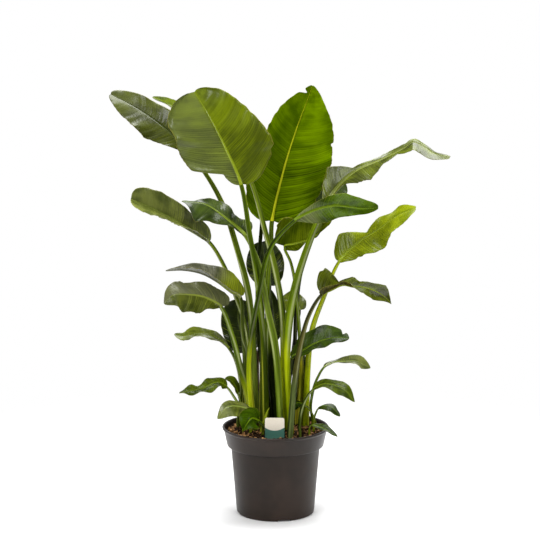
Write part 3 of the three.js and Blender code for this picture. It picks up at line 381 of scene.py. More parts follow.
     "blade": "parted", "stem": ["plain", "bright"],
     "stalk": [[-62, -6, 271], [-77, -16, 330], [-97, -32, 416], [-121, -48, 481]],
     "rib": [[-155, -62, 505], [-191, -84, 515], [-223, -104, 517], [-242, -112, 499]],
     "left": [14, 28, 44, 53, 44], "right": [42, 44, 40, 43, 40, 26],
     "lobe": [[-0.4, 0.25], [-1.1, -0.15, 0.25]],
     "face": [[0.1, -0.4, 0.9], [0, -0.35, 0.95], [0, -0.35, 0.95], [-0.4, -0.3, 0.9]],
     "fold": [[-30, -40, -35], [25, 15, 15]], "curl": [[0], [10]], "wave": [3, 3, 0.1]},
    {"name": "leaf_17", "foot": [-40, 82], "thick": [7, 4.5, 4],
     "blade": "dark", "stem": ["shadow", "shadow"],
     "stalk": [[-59, 104, 292], [-66, 118, 344]],
     "rib": [[-77, 128, 382], [-86, 136, 420], [-83, 138, 462]],
     "left": [42], "right": [46], "shape": [0.45, 0.6],
     "face": [[0, -1, 0.1], [0, -1, 0.2]],
     "fold": [[5], [5]], "wave": [5, 3, 0]},
    {"name": "leaf_18", "foot": [-84, 14], "thick": [7, 4.5, 3],
     "blade": "lit", "stem": ["moss", "moss"],
     "stalk": [[-78, 14, 289], [-90, 14, 347], [-105, 16, 374]],
     "rib": [[-121, 20, 390], [-141, 26, 400], [-164, 34, 404], [-189, 44, 400], [-212, 54, 394],
             [-230, 64, 397]],
     "left": [6, 16, 28, 28, 20], "right": [8, 10, 17, 23, 20],
     "face": [[0, -0.5, 0.8], [0, -0.4, 0.9]],
     "fold": [[30, 20, 0], [35, 20, 20]], "wave": [3, 2.5, 0.6]},
    {"name": "leaf_19", "foot": [-72, -28], "thick": [4.5, 3.5, 2.5],
     "blade": "fresh", "stem": ["plain", "plain"],
     "stalk": [[-75, -28, 240], [-89, -32, 267], [-108, -40, 297]],
     "rib": [[-127, -52, 312], [-161, -76, 304], [-211, -104, 299]],
     "left": [16, 18, 16, 14], "right": [16, 16, 12, 15, 18],
     "face": [[0.2, -0.4, 0.9], [0, -0.4, 0.9], [-0.1, -0.4, 0.9]],
     "fold": [[-10], [25]], "wave": [5, 3, 0]},
    {"name": "leaf_20", "foot": [-56, -52], "thick": [3.5, 3, 2.5],
     "blade": "silver", "stem": ["plain", "plain"],
     "stalk": [[-52, -54, 226], [-56, -60, 248]],
     "rib": [[-79, -72, 261], [-106, -90, 264], [-128, -104, 241]],
     "left": [22, 28, 24], "right": [9, 14, 14],
     "face": [[0.1, -0.6, 0.8], [0, -0.6, 0.8], [-0.6, -0.5, 0.7]],
     "fold": [[-20], [20]], "wave": [2, 2, 0]},
    {"name": "leaf_21", "foot": [-28, -68], "thick": [3.5, 3, 2.5],
     "blade": "clean", "stem": ["green", "green"],
     "stalk": [[-28, -74, 216], [-38, -86, 232]],
     "rib": [[-52, -98, 241], [-64, -112, 230], [-71, -122, 218]],
     "left": [24, 30, 16], "right": [22, 28, 14], "shape": [0.3, 1.1],
     "face": [[0, -0.9, 0.5], [-0.2, -0.9, 0.3], [-0.4, -0.9, 0.1]],
     "fold": [[-8], [-8]], "wave": [2, 2, 0.3]},
    {"name": "leaf_22", "foot": [36, 36], "thick": [7, 4.5, 3.5],
     "blade": "deep", "stem": ["shadow", "shadow"],
     "notches": [[0, 0.88, 0.5, 0.03]],
     "stalk": [[43, 30, 240], [42, 12, 311], [37, -2, 355]],
     "rib": [[59, -8, 373], [95, -14, 395], [132, -20, 406], [164, -26, 405]],
     "left": [24, 34, 36, 32], "right": [14, 18, 22, 24],
     "face": [[-0.3, -0.4, 0.9], [-0.1, -0.5, 0.8], [0.1, -0.5, 0.8]],
     "fold": [[25], [-5]], "wave": [3, 3, 0]},
    {"name": "leaf_23", "foot": [84, 30], "thick": [5, 3.5, 2.5],
     "blade": "silver", "stem": ["green", "green"],
     "stalk": [[80, 28, 235], [86, 26, 278], [95, 26, 303], [110, 30, 327]],
     "rib": [[132, 38, 337], [158, 50, 337], [186, 64, 334], [218, 78, 315]],
     "left": [12, 6, 12, 26, 20], "right": [8, 1, 6, 22, 16],
     "face": [[-0.3, -0.4, 0.9], [0, -0.5, 0.8], [0.2, -0.5, 0.8]],
     "fold": [[30, 20, 10], [10, -10, -10]], "wave": [2, 2, 0]},
    {"name": "leaf_24", "foot": [54, -70], "thick": [5.5, 4, 2.5],
     "blade": "fresh", "stem": ["moss", "moss"],
     "stalk": [[53, -68, 215], [57, -66, 249], [67, -66, 276], [81, -66, 296]],
     "rib": [[102, -76, 312], [127, -92, 315], [151, -108, 307], [173, -122, 283]],
     "left": [11, 14, 18, 16], "right": [9, 12, 20, 16],
     "face": [[-0.3, -0.3, 0.9], [0, -0.5, 0.8], [0.4, -0.5, 0.7]],
     "fold": [[30, 10, 0], [10, -15, -15]], "wave": [2, 2, 0.5]},
    {"name": "leaf_25", "foot": [86, -16], "thick": [3.5, 2.6, 2],
     "blade": "deep", "stem": ["plain", "plain"],
     "stalk": [[86, -18, 216], [89, -22, 230], [97, -28, 247]],
     "rib": [[113, -36, 255], [127, -44, 251], [144, -54, 234]],
     "left": [12, 16, 12], "right": [12, 16, 12],
     "face": [[0, -0.3, 0.9], [0.2, -0.4, 0.9], [0.4, -0.4, 0.8]],
     "fold": [[-10], [-10]], "wave": [1, 2, 0]},
    {"name": "leaf_26", "foot": [92, 6], "thick": [3.5, 2.6, 2],
     "blade": "clean", "stem": ["plain", "plain"],
     "stalk": [[88, 2, 214], [76, -4, 239], [60, -8, 251]],
     "rib": [[49, -10, 254], [41, -12, 249], [35, -14, 238]],
     "left": [12, 16, 12], "right": [12, 16, 12],
     "face": [[0, -0.3, 0.9], [-0.2, -0.4, 0.9], [-0.4, -0.4, 0.8]],
     "fold": [[-10], [-10]], "wave": [1, 2, 0]},
    {"name": "leaf_27", "foot": [76, -48], "thick": [3, 2.4, 2],
     "blade": "deep", "stem": ["plain", "plain"],
     "stalk": [[79, -52, 212]],
     "rib": [[94, -60, 213], [114, -72, 208], [137, -86, 196]],
     "left": [10, 12, 8], "right": [8, 10, 8],
     "face": [[0, -0.3, 0.9], [0.1, -0.4, 0.9], [0.2, -0.4, 0.9]],
     "fold": [[10], [10]], "wave": [1, 2, 0]},
    {"name": "leaf_28", "foot": [22, 78], "thick": [7, 4, 3],
     "blade": "grey", "stem": ["shadow", "shadow"],
     "stalk": [[38, 100, 328], [47, 120, 395], [56, 134, 439]],
     "rib": [[51, 140, 447], [38, 148, 457], [14, 158, 461]],
     "left": [28], "right": [26],
     "face": [[0, -0.8, 0.5]],
     "fold": [[0], [0]], "wave": [3, 2, 0]},
    {"name": "leaf_29", "foot": [4, 84], "thick": [7, 4, 3],
     "blade": "dark", "stem": ["shadow", "shadow"],
     "stalk": [[8, 94, 330], [3, 102, 375]],
     "rib": [[-1, 110, 416], [-6, 118, 456], [-11, 122, 490]],
     "left": [18, 22, 18], "right": [14, 18, 14],
     "face": [[0, -1, 0.2]],
     "fold": [[10], [10]], "wave": [2, 2, 0]},
    {"name": "leaf_30", "foot": [-72, -9], "thick": [4, 3.2, 2.4],
     "blade": "fresh", "stem": ["plain", "plain"],
     "stalk": [[-74, -10, 236], [-80, -12, 262], [-84, -14, 276]],
     "rib": [[-91, -16, 296], [-100, -18, 308], [-113, -22, 312]],
     "left": [12, 16, 14], "right": [16, 18, 14],
     "face": [[0.6, -0.3, 0.7], [0.2, -0.4, 0.9]],
     "fold": [[10], [10]], "wave": [1, 2, 0]},
    {"name": "leaf_31", "foot": [70, 60], "thick": [5, 3.5, 2.5],
     "blade": "dark", "stem": ["shadow", "shadow"],
     "stalk": [[70, 66, 250], [66, 76, 282]],
     "rib": [[62, 84, 302], [58, 92, 326], [52, 102, 348]],
     "left": [16, 20, 16], "right": [16, 20, 16],
     "face": [[0, -1, 0.2]],
     "fold": [[10], [10]], "wave": [2, 2, 0]},
]


def srgb(red, green, blue):
    """Linear colour of an 8 bit screen colour, with alpha."""
    def linear(value):
        value /= 255
        return value / 12.92 if value <= 0.04045 else ((value + 0.055) / 1.055) ** 2.4
    return (linear(red), linear(green), linear(blue), 1.0)


# ---- Small helpers -----------------------------------------------------------------------
def unit(vector):
    return vector / np.linalg.norm(vector)


def spread(values, share):
    """A value from a list whose entries are spread evenly over 0 to 1."""
    return float(np.interp(share, np.linspace(0, 1, len(values)), values))


def spread_direction(values, share):
    return unit(np.array([spread([entry[axis] for entry in values], share) for axis in range(3)]))


def smooth(value, low, high):
    share = np.clip((value - low) / (high - low), 0, 1)
    return share * share * (3 - 2 * share)


class Wobble:
    """A smooth irregular function of one value, between about -1 and 1."""

    def __init__(self, seed):
        draw = random.Random(seed)
        self.waves = [
            (draw.uniform(0.6, 1.9) * 1.6**k, draw.uniform(0, 2 * math.pi), 0.8**k) for k in range(4)
        ]
        self.total = sum(height for _, _, height in self.waves) * 0.62

    def __call__(self, value):
        return sum(height * np.sin(rate * value + phase) for rate, phase, height in self.waves) / self.total


class CentreLine:
    """A centripetal spline that can be read at any length along it."""

    STEPS = 12  # per point

    def __init__(self, points):
        points = np.array(points, float)
        ends = np.vstack([2 * points[0] - points[1], points, 2 * points[-1] - points[-2]])
        places = []
        for before, start, end, after in zip(ends, ends[1:], ends[2:], ends[3:]):
            steps = (start - before, end - start, after - end)
            back, gap, ahead = [np.sqrt(np.linalg.norm(step)) for step in steps]
            leave = (start - before) / back - (end - before) / (back + gap) + (end - start) / gap
            arrive = (end - start) / gap - (after - start) / (gap + ahead) + (after - end) / ahead
            leave, arrive = leave * gap, arrive * gap
            bend = -3 * start + 3 * end - 2 * leave - arrive
            twist = 2 * start - 2 * end + leave + arrive
            for t in np.arange(self.STEPS) / self.STEPS:
                places.append(start + leave * t + bend * t**2 + twist * t**3)
        places.append(points[-1])
        self.places = np.array(places)
        steps = np.linalg.norm(np.diff(self.places, axis=0), axis=1)
        self.lengths = np.concatenate([[0], np.cumsum(steps)])
        self.length = self.lengths[-1]

    def length_at_point(self, index):
        return self.lengths[index * self.STEPS]

    def at(self, length):
        return np.array([np.interp(length, self.lengths, self.places[:, axis]) for axis in range(3)])

    def direction(self, length, reach):
        return unit(self.at(min(length + reach, self.length)) - self.at(max(length - reach, 0)))


def section_frame(along, facing):
    up = unit(facing - along * facing.dot(along))
    return {"along": along, "up": up, "right": np.cross(along, up)}


def add_object(name, points, faces, smooth_faces=True):
    """A mesh object from points in millimetres."""
    mesh = bpy.data.meshes.new(name)
    mesh.from_pydata((np.asarray(points) * MM).tolist(), [], faces)
    mesh.update()
    if smooth_faces:
        mesh.polygons.foreach_set("use_smooth", [True] * len(mesh.polygons))
    return link(bpy.data.objects.new(name, mesh))


def link(thing):
    bpy.context.scene.collection.objects.link(thing)
    return thing


def set_attribute(piece, name, rows):
    """Gives every point a value for the materials to read."""
    attribute = piece.data.attributes.new(name, "FLOAT", "POINT")
    attribute.data.foreach_set("value", np.concatenate(rows).astype(np.float32))


def soften(piece, width, segments):
    modifier = piece.modifiers.new("soft_edge", "BEVEL")
    modifier.width = width * MM
    modifier.segments = segments


def loft_faces(row_count, count):
    """Quads between rows of points, and a strip of quads over each end."""
    faces = []
    for start in range(0, (row_count - 1) * count, count):
        for k in range(count):
            a, b = start + k, start + (k + 1) % count
            faces.append((a, b, b + count, a + count))
    last = (row_count - 1) * count
    for k in range(count // 2 - 1):
        under = count - 1 - k
        faces.append((k, under, under - 1, k + 1))
        faces.append((last + k, last + k + 1, last + under - 1, last + under))
    return faces


def level_ring(radius, height, count):
    """Points around the upright axis."""
    angles = np.arange(count) * 2 * math.pi / count
    x, y = radius * np.cos(angles), radius * np.sin(angles)
    return np.column_stack([x, y, np.full(count, float(height))])


def add_rings(name, bottom_z, rings, top_z):
    """A closed mesh from rings around the upright axis, with one point on the axis at each end."""
    count = len(rings[0])
    points = np.vstack([[[0, 0, bottom_z]], *rings, [[0, 0, top_z]]])
    top = len(points) - 1
    last = top - count
    faces = []
    for k in range(count):
        after = (k + 1) % count
        faces.append((0, 1 + after, 1 + k))
        for low in range(1, last, count):
            faces.append((low + k, low + after, low + count + after, low + count + k))
        faces.append((last + k, last + after, top))
    return add_object(name, points, faces)


def finish_piece(piece, node):
    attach(piece, BODY)
    if node:
        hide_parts(node)


# ---- Material graphs ---------------------------------------------------------------------
class Signal:
    """A value in a node tree. Arithmetic on it makes the nodes that do it."""

    def __init__(self, graph, socket):
        self.graph = graph
        self.socket = socket

    def combined(self, operation, other=0.0):
        return self.graph.signal("ShaderNodeMath", 0, {0: self, 1: other}, operation=operation)

    def __add__(self, other):
        return self.combined("ADD", other)

    def __sub__(self, other):
        return self.combined("SUBTRACT", other)

    def __mul__(self, other):
        return self.combined("MULTIPLY", other)

    def __abs__(self):
        return self.combined("ABSOLUTE")


class Graph:
    """The node tree of a material or of the world, with short calls for the nodes used here."""

    def __init__(self, owner, shader="Principled BSDF"):
        owner.use_nodes = True
        self.owner = owner
        self.tree = owner.node_tree
        self.shader = self.tree.nodes[shader]

    def feed(self, socket, value):
        if isinstance(value, Signal):
            self.tree.links.new(value.socket, socket)
        else:
            socket.default_value = value

    def node(self, kind, inputs, **settings):
        made = self.tree.nodes.new(kind)
        for key, value in settings.items():
            setattr(made, key, value)
        for key, value in inputs.items():
            self.feed(made.inputs[key], value)
        return made

    def signal(self, kind, output, inputs, **settings):
        """One output of a new node."""
        return Signal(self, self.node(kind, inputs, **settings).outputs[output])

    def mix(self, factor, first, second):
        return self.signal("ShaderNodeMix", 2, {0: factor, 6: first, 7: second}, data_type="RGBA")

    def tones(self, value, pair):
        """A colour between two screen colours, the first where the value is 0."""
        return self.mix(value, srgb(*pair[0]), srgb(*pair[1]))

    def painted(self, colour, layers):
        """A colour under layers, each given as how much of it shows and its colour."""
        for share, layer in layers:
            colour = self.mix(share, colour, layer)
        return colour

    def ramp(self, value, low, high, start=0.0, end=1.0):
        inputs = dict(enumerate((value, low, high, start, end)))
        return self.signal("ShaderNodeMapRange", 0, inputs, interpolation_type="SMOOTHSTEP")

    def attribute(self, name):
        return self.signal("ShaderNodeAttribute", "Fac", {}, attribute_name=name)

    def vector(self, x, y, z=0.0):
        return self.signal("ShaderNodeCombineXYZ", 0, {0: x, 1: y, 2: z})

    def place(self):
        return self.signal("ShaderNodeTexCoord", "Object", {})

    def parts(self, vector):
        """The three parts of a vector."""
        return [Signal(self, socket) for socket in self.node("ShaderNodeSeparateXYZ", {0: vector}).outputs]

    def noise(self, vector, scale, detail=2.0, roughness=0.5):
        inputs = {"Vector": vector, "Scale": scale, "Detail": detail, "Roughness": roughness}
        return self.signal("ShaderNodeTexNoise", "Fac", inputs)

    def bump(self, height, distance, strength):
        inputs = {"Strength": strength, "Distance": distance * MM, "Height": height}
        self.feed(self.shader.inputs["Normal"], self.signal("ShaderNodeBump", 0, inputs))

    def set(self, **sockets):
        for name, value in sockets.items():
            self.feed(self.shader.inputs[name.replace("_", " ")], value)


def material_graph(name):
    return Graph(bpy.data.materials.new(name))


def blade_material(name, colours, seed):
    """Waxy leaf: side veins, pleats with painted shade in their folds, light and dark bands, painted
    highlight streaks, a pale midrib and a thin dry edge.
    """
    graph = material_graph(name)
    across, vein, under, rib, reached = [
        graph.attribute(value) for value in ("across", "vein", "under", "rib", "reached")
    ]
    bands = graph.noise(graph.vector(vein * BAND_RATE, across * 0.8, seed), 1.0, 3.0, 0.6)
    patches = graph.noise(graph.vector(vein * PATCH_RATE, across, seed + 7), 1.4)
    fine = graph.noise(graph.vector(vein * STREAK_RATE, across * 0.5, seed), 1.0, 2.5)
    tone = graph.ramp(bands * 0.25 + patches * 0.75, 0.34, 0.66)
    side = graph.mix(under, graph.tones(tone, colours["upper"]), graph.tones(tone, colours["under"]))
    # Painted light: the base tint paints a sheen near the neck, and on the sheen kind light shining through;
    # the half tint paints a sheen on one half, and on the glow kind shade.
    if "base" in colours:
        share, tint = colours["base"]
        side = graph.mix(graph.ramp(reached, 0.18, 0.42, share, 0.0), side, srgb(*tint))
    if "half" in colours:
        sign, share, tint = colours["half"]
        side = graph.mix(graph.ramp(across * sign, -0.02, 0.1, 0.0, share), side, srgb(*tint))
    calm = graph.ramp(reached, 0.4, 0.8, 1.0, 0.12)  # patterns fade towards the tip
    folds = graph.ramp(graph.attribute("crest"), -1.15, -0.55, 0.5, 0.0)
    lines = (vein * (2 * math.pi / LINE_PITCH) + bands * 4.0).combined("SINE")
    edge = graph.ramp(abs(across) + bands * 0.012, 0.985, 1.003)
    painted = graph.painted(side, [
        (folds * calm, FOLD_SHADE),
        (graph.ramp(lines, 0.5, 1.0, 0.0, 0.42) * calm, VEIN_SHADE),
        (graph.ramp(fine, 0.34, 0.5, 0.3, 0.0) * calm, STREAK_SHADE),
        # painted highlight streaks along the veins
        (graph.ramp(fine, 0.58, 0.72, 0.0, colours.get("streaks", 0.2)) * calm, srgb(*PAINTED_STREAK_HIGHLIGHT)),
        (graph.ramp(rib, 0.35, 0.95) * graph.ramp(reached, 0.3, 1.0, 1.0, 0.4), srgb(*colours["rib"])),
        (edge * 0.7, srgb(*BLADE_EDGE)),
    ])
    graph.set(
        Base_Color=painted,
        Roughness=graph.ramp(bands, 0.3, 0.7, 0.32, 0.44) + under * 0.1,
        IOR=1.05 + 0.37 * colours["gloss"],
        Specular_IOR_Level=0.5 * math.sqrt(colours["gloss"]),
        Coat_Weight=0.5 * colours["gloss"],
        Coat_Roughness=0.2,
    )
    graph.bump((fine * 0.5 + bands) * calm, 0.6, 0.7)
    return graph.owner


def stalk_material(name, kinds, seed):
    """Smooth stalk with lengthwise streaks, a painted highlight stripe and painted shade in its channel and
    underneath; its sheath has pale edges and thin rusty lines.
    """
    graph = material_graph(name)
    across, length, sheath = [graph.attribute(value) for value in ("across", "vein", "sheath")]
    streaks = graph.noise(graph.vector(across * 2.6, length * 0.006, seed), 1.0)
    flecks = graph.noise(graph.vector(across * 30.0, length * 0.05, seed), 1.0)
    streak = graph.ramp(streaks, 0.36, 0.64)
    above, foot = [graph.tones(streak, STALKS[kind]) for kind in kinds]
    from_centre = abs(across)  # 0 in the channel, 1 under the stalk
    off_side = abs(from_centre - 0.48)
    # a painted highlight stripe along each side of the stalk
    painted_highlight = graph.ramp(off_side, 0.03, 0.17, STALKS[kinds[0]][2], 0.0)
    painted_highlight = painted_highlight * graph.ramp(sheath, 0.0, 0.35, 1.0, 0.0)
    margin = graph.ramp(abs(from_centre - 0.86), 0.0, 0.08, 0.6, 0.0)
    line = graph.ramp(abs(from_centre - 0.93), 0.0, 0.03, 1.0, 0.0)
    low = graph.ramp(sheath, 0.35, 0.8) * graph.ramp(streaks, 0.4, 0.6)
    painted = graph.painted(graph.mix(graph.ramp(sheath, 0.0, 0.3), above, foot), [
        # painted shade in the channel and underneath the stalk
        (graph.ramp(off_side, 0.26, 0.5, 0.0, 0.45), FOLD_SHADE),
        (painted_highlight, srgb(*PAINTED_STALK_HIGHLIGHT)),
        (graph.ramp(flecks, 0.6, 0.8, 0.0, 0.25), srgb(*STALK_FLECK)),
        (margin * graph.ramp(sheath, 0.05, 0.5), srgb(*SHEATH_EDGE)),
        (line * low, srgb(*SHEATH_LINE)),
    ])
    graph.set(
        Base_Color=painted,
        Roughness=graph.ramp(flecks, 0.3, 0.7, 0.34, 0.48),
        IOR=1.2,
        Specular_IOR_Level=0.3,
    )
    graph.bump(streaks + flecks * 0.4, 0.5, 0.6)
    return graph.owner


# ---- A leaf ------------------------------------------------------------------------------
HALF_COLUMNS = len(RIB_STEPS) + len(LAMINA_STEPS)
COLUMNS = 2 * HALF_COLUMNS - 1
RING_SHARES = np.concatenate([RIB_STEPS / RIB_STEPS[-1] * 0.93, 0.93 + 0.07 * LAMINA_STEPS])
LEAF_VALUES = ("across", "vein", "under", "rib", "sheath", "crest", "reached")


def both_sides(right, left=None):
    """Values from the left edge to the right edge, out of lists that run from the midrib to an edge."""
    return np.concatenate([(right if left is None else left)[:0:-1], right])


RING_SIDES = both_sides(np.ones(HALF_COLUMNS), -np.ones(HALF_COLUMNS))


def stalk_size(thick, share):
    """Half widths of a stalk, across and along its facing direction, and how much of a sheath it is."""
    foot_width, mid_width, neck_width = thick
    sheath = max(0.0, 1 - share / SHEATH_SHARE)
    above = max(0.0, share - SHEATH_SHARE) / (1 - SHEATH_SHARE)
    width = mid_width + (foot_width - mid_width) * sheath**0.8 + (neck_width - mid_width) * above
    return width, width / (1 + (SHEATH_FLATNESS - 1) * math.sqrt(sheath)), sheath


def stalk_ring(centre, axes, size, groove, flute):
    """Upper and lower points of a stalk's section: an oval with a channel above and faint flutes."""
    width, depth, _ = size
    angles = (1 - RING_SHARES) * math.pi / 2
    x, y = np.cos(angles), np.sin(angles)
    channel = 1 - groove * np.exp(-((x / CHANNEL_REACH) ** 2))
    rounds = 1 + FLUTE_DEPTH * np.sin(FLUTE_RATE * angles + flute)
    middle = centre + np.outer(RING_SIDES * both_sides(x * rounds) * width, axes["right"])
    upper = middle + np.outer(both_sides(y * channel) * depth, axes["up"])
    lower = middle - np.outer(both_sides(y * rounds) * depth, axes["up"])
    return upper, lower


def outline(share, shape):
    """Width of the blade as a share of its half width, from the neck at 0 to the tip at 1."""
    widest, bluntness = shape
    if share < widest:
        return math.sqrt(1 - (1 - share / widest) ** 2.2)
    return max(0.0, 1 - ((share - widest) / (1 - widest)) ** 2.4) ** bluntness


def half_section(leaf, side, centre, axes, share, blade_length, wobbles):
    """One half of a blade's section, from midrib to edge: its points above and below, and its values."""
    sign = 1 if side else -1
    rib_half = leaf["thick"][2] * RIB_SHARE * (1 - share) ** 0.8 + RIB_TIP
    half_width = outline(share, leaf.get("shape", PLAIN_SHAPE))
    half_width *= spread(leaf["right" if side else "left"], share)
    for notch_side, place, depth, width in leaf.get("notches", []):
        if notch_side == side:
            half_width *= 1 - depth * math.exp(-(((share - place) / width) ** 2))
    half_width *= 1 + EDGE_UNEVENNESS * wobbles[side](share * blade_length / EDGE_PITCH)
    half_width = max(half_width, rib_half * 1.15)
    rib_reach = min(RIB_STEPS[-1] * rib_half, 0.75 * half_width)
    over_rib = RIB_STEPS / RIB_STEPS[-1] * rib_reach
    distance = np.concatenate([over_rib, rib_reach + (half_width - rib_reach) * LAMINA_STEPS])
    reach = distance / half_width

    fold, curl, roll = [
        math.radians(spread(leaf.get(key, STRAIGHT)[side], share)) for key in ("fold", "curl", "roll")
    ]
    curl = curl or 1e-6
    angle = fold + curl * reach
    if roll:
        angle = angle + roll * smooth(reach, ROLL_START, 1)
        steps = np.diff(distance, prepend=0)
        outward = np.cumsum(steps * np.cos(angle))
        lifted = np.cumsum(steps * np.sin(angle))
    else:
        outward = (np.sin(angle) - math.sin(fold)) / curl * half_width
        lifted = (math.cos(fold) - np.cos(angle)) / curl * half_width
    normal = np.outer(np.cos(angle), axes["up"]) - sign * np.outer(np.sin(angle), axes["right"])
    swept = spread(leaf.get("lobe", PLAIN_LOBES)[side], share) * distance
    run = blade_length * share + swept - VEIN_SLOPE * distance - VEIN_BEND * half_width * reach**3

    wave_height, wave_count, wave_phase = leaf["wave"]
    phase = wave_count * share + wave_phase + (0 if side else LEFT_WAVE_SHIFT)
    taper = math.sqrt(max(0.0, math.sin(math.pi * share)))
    ripple = wave_height * reach**2 * taper * math.sin(2 * math.pi * phase)
    pitch = leaf.get("pitch", PLEAT_PITCH)
    turns = 2 * math.pi * run / pitch + 1.4 * wobbles[2](run / (3 * pitch))
    crest = np.sin(turns) + 0.3 * np.sin(2 * turns)
    crest = crest * (1 - PLEAT_FADE * smooth(share, *PLEAT_FADE_ZONE))
    scale = min(1.0, half_width / FULL_RELIEF_WIDTH)
    beyond_rib = smooth(distance, 0.9 * rib_half, 3.0 * rib_half + 2)
    pleat = PLEAT_SLOPE * pitch * scale * beyond_rib * crest
    swell = SWELL_HEIGHT * scale * taper * reach * beyond_rib * wobbles[3 + side](run / SWELL_PITCH)
    frill = FRILL_HEIGHT * scale * taper * reach**5 * wobbles[5 + side](run / FRILL_PITCH)
    points = (centre + sign * np.outer(outward, axes["right"]) + np.outer(lifted + ripple, axes["up"])
              + np.outer(swept, axes["along"]) + normal * (pleat + swell + frill)[:, None])

    groove = RIB_GROOVE * rib_half * np.exp(-((distance / (RIB_GROOVE_REACH * rib_half)) ** 2))
    bulge = np.sqrt(np.maximum(0, 1 - (distance / (rib_reach + 1e-9)) ** 2))
    depth = BLADE_THICKNESS + RIB_DEPTH * rib_half * bulge * min(1.0, half_width / (2 * rib_half))
    edge = np.clip((half_width - distance) / EDGE_BEVEL, EDGE_LEAST, 1)
    thinned = 0.5 * BLADE_THICKNESS * (1 - np.where(distance > rib_reach, edge, 1))
    return {
        "upper": points - normal * (groove + thinned)[:, None],
        "lower": points - normal * (depth - thinned)[:, None],
        "across": sign * reach,
        "vein": run + HALVES_APART * side,
        "rib": 1 - smooth(distance, 0.55 * rib_half, 1.35 * rib_half),
        "crest": crest,
    }


def blade_section(leaf, centre, axes, share, blade_length, wobbles):
    """Both halves of a blade's section, joined from the left edge to the right edge."""
    left, right = [half_section(leaf, side, centre, axes, share, blade_length, wobbles) for side in (0, 1)]
    return {key: both_sides(right[key], left[key]) for key in right}


def lean_of(leaf):
    """The direction from a leaf's foot towards its neck, level with the ground."""
    lean = np.array(leaf["stalk"][-1], float) - np.array([*leaf["foot"], 0.0])
    lean[2] = 0
    return unit(lean)


class LeafRows:
    """The cross sections of a leaf, and each point's values for its materials."""

    def __init__(self):
        self.points = []
        self.values = {name: [] for name in LEAF_VALUES}

    def add(self, upper, lower, **values):
        """Adds a section. A value is a pair, above and below, and is 0 where it isn't given."""
        self.points.append(np.vstack([upper, lower[::-1]]))
        values["under"] = (0, 1)
        for name, rows in self.values.items():
            above, below = [np.full(COLUMNS, value, float) for value in values.get(name, (0, 0))]
            rows.append(np.concatenate([above, below[::-1]]))

    def add_ring(self, ring, length, sheath):
        """Adds a stalk's section, with across from 0 in its channel to 1 or -1 under the stalk."""
        ring_across = RING_SIDES * both_sides(RING_SHARES)
        sign = np.sign(ring_across + 1e-9)
        around = (sign * np.abs(ring_across) / 2, sign * (2 - np.abs(ring_across)) / 2)
        self.add(*ring, across=around, vein=(length, length), rib=(1, 1), sheath=(sheath, sheath))


def add_stalk(rows, leaf, line, neck):
    """Adds a leaf's sections from its foot in the soil up to its neck."""
    foot = np.array([*leaf["foot"], STEM_FOOT_Z], float)
    exit_point = np.array([*leaf["foot"], STEM_EXIT_Z], float)
    upright = section_frame(np.array([0.0, 0.0, 1.0]), -lean_of(leaf))
    size = stalk_size(leaf["thick"], 0)
    for point in (foot, exit_point):
        rows.add_ring(stalk_ring(point, upright, size, SOIL_CHANNEL, 0), point[2] - STEM_EXIT_Z, 1.0)
    first_face = spread_direction(leaf["face"], 0)
    count = max(6, round(neck / STALK_STEP))
    for i in range(1, count + 1):
        share = i / count
        facing = unit(upright["up"] * (1 - share) + first_face * share)
        axes = section_frame(line.direction(neck * share, 4), facing)
        size = stalk_size(leaf["thick"], share)
        groove = STALK_CHANNEL + SHEATH_CHANNEL * size[2]
        ring = stalk_ring(line.at(neck * share), axes, size, groove, 2 * share)
        rows.add_ring(ring, neck * share, size[2])


def add_blade(rows, leaf, line, neck):
    """Adds a leaf's sections from its neck, where they turn from a stalk's into a blade's, to its tip."""
    wobbles = [Wobble(f"{leaf['name']}{k}") for k in range(7)]
    neck_size = stalk_size(leaf["thick"], 1)
    blade_length = line.length - neck
    count = max(16, round(blade_length / BLADE_STEP))
    for i in range(1, count + 1):
        even = i / count
        share = min(NECK_END, 0.6 * even + 0.4 * (0.5 - 0.5 * math.cos(math.pi * even)))
        length = neck + blade_length * share
        facing = spread_direction(leaf["face"], share)
        axes = section_frame(line.direction(length, blade_length * 0.02), facing)
        centre = line.at(length)
        section = blade_section(leaf, centre, axes, share, blade_length, wobbles)
        turn = float(smooth(blade_length * share, 0, NECK_BLEND))
        hold = (1 - turn) * (1 - smooth(both_sides(RING_SHARES), 0.55, 1.0))
        for key, ring in zip(("upper", "lower"), stalk_ring(centre, axes, neck_size, STALK_CHANNEL, 2)):
            section[key] = section[key] + (ring - section[key]) * hold[:, None]
        across, vein, rib, crest = [section[key] for key in ("across", "vein", "rib", "crest")]
        rows.add(section["upper"], section["lower"], across=(across, across), vein=(vein, vein),
                 rib=(rib, rib), crest=(crest, -crest), reached=(share, share))


def build_leaf(leaf, index):
    """One leaf: its stalk and blade as a single closed mesh."""
    line = CentreLine([[*leaf["foot"], STEM_EXIT_Z], *leaf["stalk"], *leaf["rib"]])
    neck = line.length_at_point(len(leaf["stalk"]))
    rows = LeafRows()
    add_stalk(rows, leaf, line, neck)
    stalk_faces = (len(rows.points) - 1) * 2 * COLUMNS
    add_blade(rows, leaf, line, neck)
    faces = loft_faces(len(rows.points), 2 * COLUMNS)
    piece = add_object(leaf["name"] + "_leaf", np.vstack(rows.points), faces)
    for name, values in rows.values.items():
        set_attribute(piece, name, values)
    piece.data.materials.append(blade_material(leaf["name"] + "_blade", BLADES[leaf["blade"]], index * 1.7))
    piece.data.materials.append(stalk_material(leaf["name"] + "_stalk", leaf["stem"], index * 2.3))
    slots = np.zeros(len(piece.data.polygons), np.int32)
    slots[:stalk_faces] = 1
    piece.data.polygons.foreach_set("material_index", slots)
    finish_piece(piece, leaf["name"])


